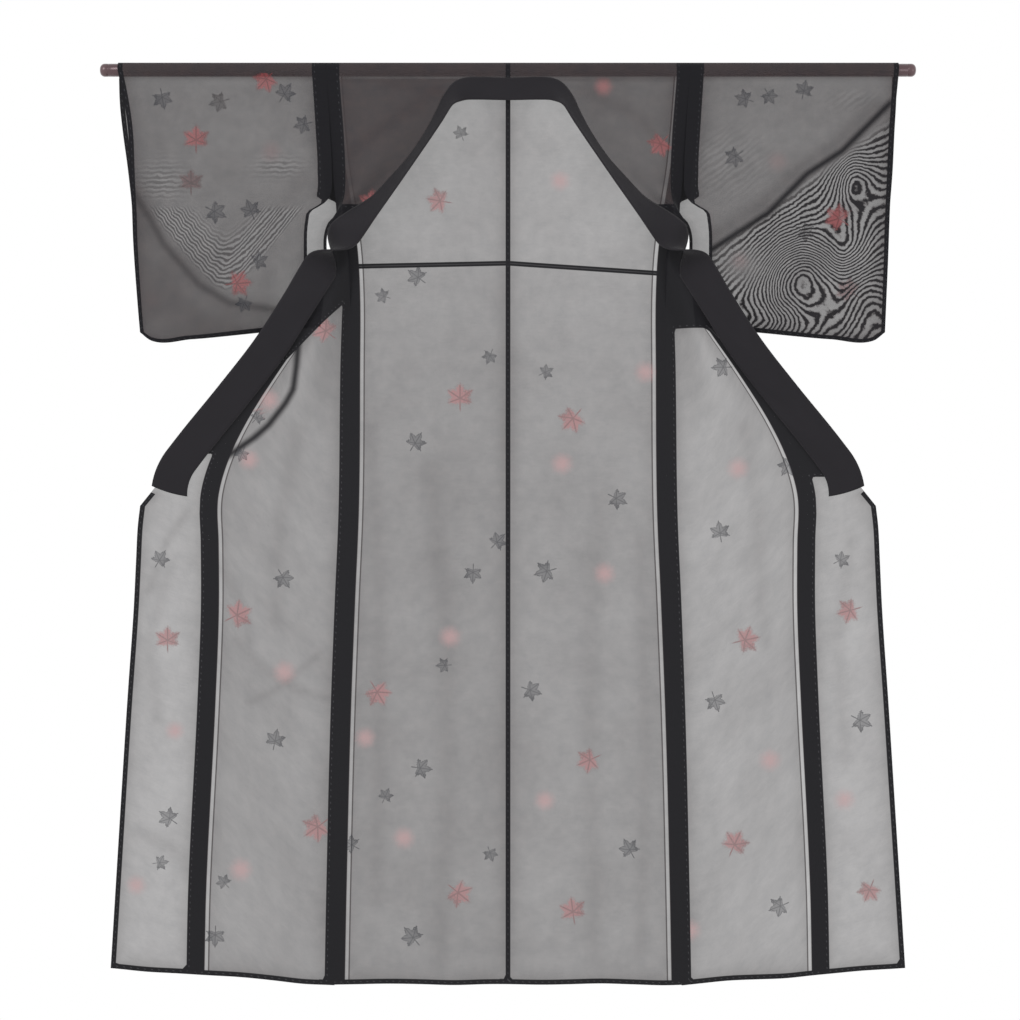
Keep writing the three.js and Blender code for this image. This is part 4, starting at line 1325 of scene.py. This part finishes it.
for side, word in SIDES:
    grid, front_end, back_start = sleeve_grid(side)
    rows = np.broadcast_to(np.arange(len(grid))[:, None], grid.shape[:-1])
    z = grid[..., 2]
    on_front = rows < front_end
    inner_band = mix(SLEEVE_EDGE, ARMHOLE_BAND, smooth((ARMHOLE_DEPTH + z) / 12))
    hem = np.maximum(inner_band - away_from(grid, grid[:, :1]), HEM - away_from(grid, grid[:, -1:]))
    hem = np.maximum(hem, SLEEVE_EDGE - (z + through(SLEEVE_DEPTH)(SLEEVE_COLUMNS)))
    number, depth, light = ripples(side, grid)
    # Painted shade lowers the openness: on the front layer in its shaded areas and along soft folds,
    # and everywhere beside the bands and where the cloth turns away from the front.
    front_open = SLEEVE_OPEN_FRONT * light * crease_shade_factor(grid, SLEEVE_CREASE_SHADES)
    openness = np.where(on_front, front_open, SLEEVE_OPEN_BACK) * shade_beside_bands(hem)
    openness = openness ** (1 / turned_away(grid)) ** 0.4
    marks = {
        "hem": hem,
        "seam": np.full(z.shape, FAR),
        "open": openness * over_rod(z),
        "ripple": number,
        "ripple_depth": np.where(on_front, depth, 0.0),
    }
    marks.update(painted_fold_shade(grid, SLEEVE_FOLD_SHADES[side], on_front))
    marks.update(both_faces(grid, SLEEVE_LEAVES, SLEEVE_BACK_LEAVES, rows < back_start))
    faces = face_grid(*grid.shape[:2], ring=True)
    sleeve = make_sheet("sleeve_cloth_" + word, grid, faces, marks, gauze, flip=side < 0)
    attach(sleeve, "root")
    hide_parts("sleeve_" + word)

# %% [markdown]
# ## Collar
# The collar is a long strip folded double over the raw edges of the neck, so it is thicker than
# the panels and has a folded edge on each side. One sheet follows its middle surface from end to
# end, and a Solidify modifier gives it both faces and its rims.

# %% Collar
COLLAR_ROWS = 460
COLLAR_COLUMNS = np.linspace(-1, 1, 13)
SLACK_HEIGHT = 0.5


def collar_grid():
    """Middle surface of the band, with a faint slack wave across the straight parts."""
    p = np.linspace(-COLLAR_LENGTH, COLLAR_LENGTH, COLLAR_ROWS)[:, None]
    side = np.where(p < 0, -1.0, 1.0)
    points = collar_point(side, p, COLLAR_COLUMNS[None, :])
    wave = np.sin(p / 37) * np.sin(p / 91 + 1)
    points[..., 1] += SLACK_HEIGHT * wave * (1 - COLLAR_COLUMNS**2)
    return points


grid = collar_grid()
across_mark = np.broadcast_to(COLLAR_COLUMNS[None, :], grid.shape[:-1])
faces = face_grid(*grid.shape[:2])
collar = make_sheet("collar_cloth", grid, faces, {"across": across_mark}, doubled)
thick = collar.modifiers.new("folded double", "SOLIDIFY")
thick.thickness = COLLAR_WALL * MM
thick.offset = 0
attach(collar, "root")
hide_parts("collar")

# %% [markdown]
# ## Camera
# The picture looks straight at the middle of the garment from far away. A long lens five metres
# off gives the same frame: the picture's width covers 1.728 m at the rod.

# %% Camera
CAMERA_DISTANCE = 5.0
FRAME_WIDTH = 1.728
SENSOR = 36.0
camera_data = bpy.data.cameras.new("camera")
camera_data.sensor_width = SENSOR
camera_data.lens = SENSOR * CAMERA_DISTANCE / FRAME_WIDTH
camera = bpy.data.objects.new("camera", camera_data)
camera.location = (0.0034, -CAMERA_DISTANCE, -0.745)
camera.rotation_euler = (np.pi / 2, 0, 0)
bpy.context.collection.objects.link(camera)
bpy.context.scene.camera = camera
print("lens", round(camera_data.lens, 1), "mm")

# %% [markdown]
# ## Floor and light
# A white studio: a bright even world stands behind the cloth and shines through it, a large soft
# lamp from the upper left gives the collar and the rod their gloss, and a weaker one fills from
# the right. The pale floor is a round disc under the hem.

# %% Floor and light
FLOOR_Z = -1.9
FLOOR_RADIUS = 1.5
FLOOR_WALL = 0.02


def plaster_material(name):
    """Pale, matt plaster with faint clouds."""
    material, paint, shader = new_material(name)
    cloud = paint.noise(paint.place(), 3.0)
    tone = paint.blend(cloud, (0.74, 0.73, 0.71, 1), (0.8, 0.79, 0.77, 1))
    paint.feed(shader, {"Base Color": tone, "Roughness": 0.8})
    return material


def make_floor():
    """Disc of pale plaster: two rings of points round the centre."""
    turn = np.linspace(0, 2 * np.pi, 97)[:-1]
    rim = point(FLOOR_RADIUS * np.cos(turn), FLOOR_RADIUS * np.sin(turn), FLOOR_Z)
    i = np.arange(len(turn))
    after = (i + 1) % len(turn)
    walls = np.stack([i + len(turn), after + len(turn), after, i], axis=1).tolist()
    faces = [i.tolist(), (i[::-1] + len(turn)).tolist()] + walls
    points = np.concatenate([rim, rim - (0, 0, FLOOR_WALL)])
    return new_piece("floor", points, faces, plaster_material("pale_plaster"), smooth_shaded=False)


def area_lamp(name, place, target, size, power):
    """Square soft lamp at place that faces target."""
    data = bpy.data.lights.new(name, "AREA")
    data.size = size
    data.energy = power
    lamp = bpy.data.objects.new(name, data)
    way = np.subtract(target, place)
    level = np.hypot(way[0], way[1])
    lamp.location = place
    lamp.rotation_euler = (np.arctan2(level, -way[2]), 0, np.arctan2(-way[0], way[1]))
    bpy.context.collection.objects.link(lamp)
    return lamp


make_floor()
area_lamp("key", (-2.2, -3.6, 1.6), (0, 0, -0.7), 2.2, 60)
area_lamp("fill", (2.8, -3.0, -0.4), (0, 0, -0.8), 2.0, 18)
world = bpy.data.worlds.new("studio")
world.use_nodes = True
world.node_tree.nodes["Background"].inputs["Color"].default_value = (1, 1, 1, 1)
world.node_tree.nodes["Background"].inputs["Strength"].default_value = 1.0
bpy.context.scene.world = world
bpy.context.scene.view_settings.view_transform = "Standard"
bpy.context.scene.cycles.transparent_max_bounces = 32
print("lamps:", len(bpy.data.lights))
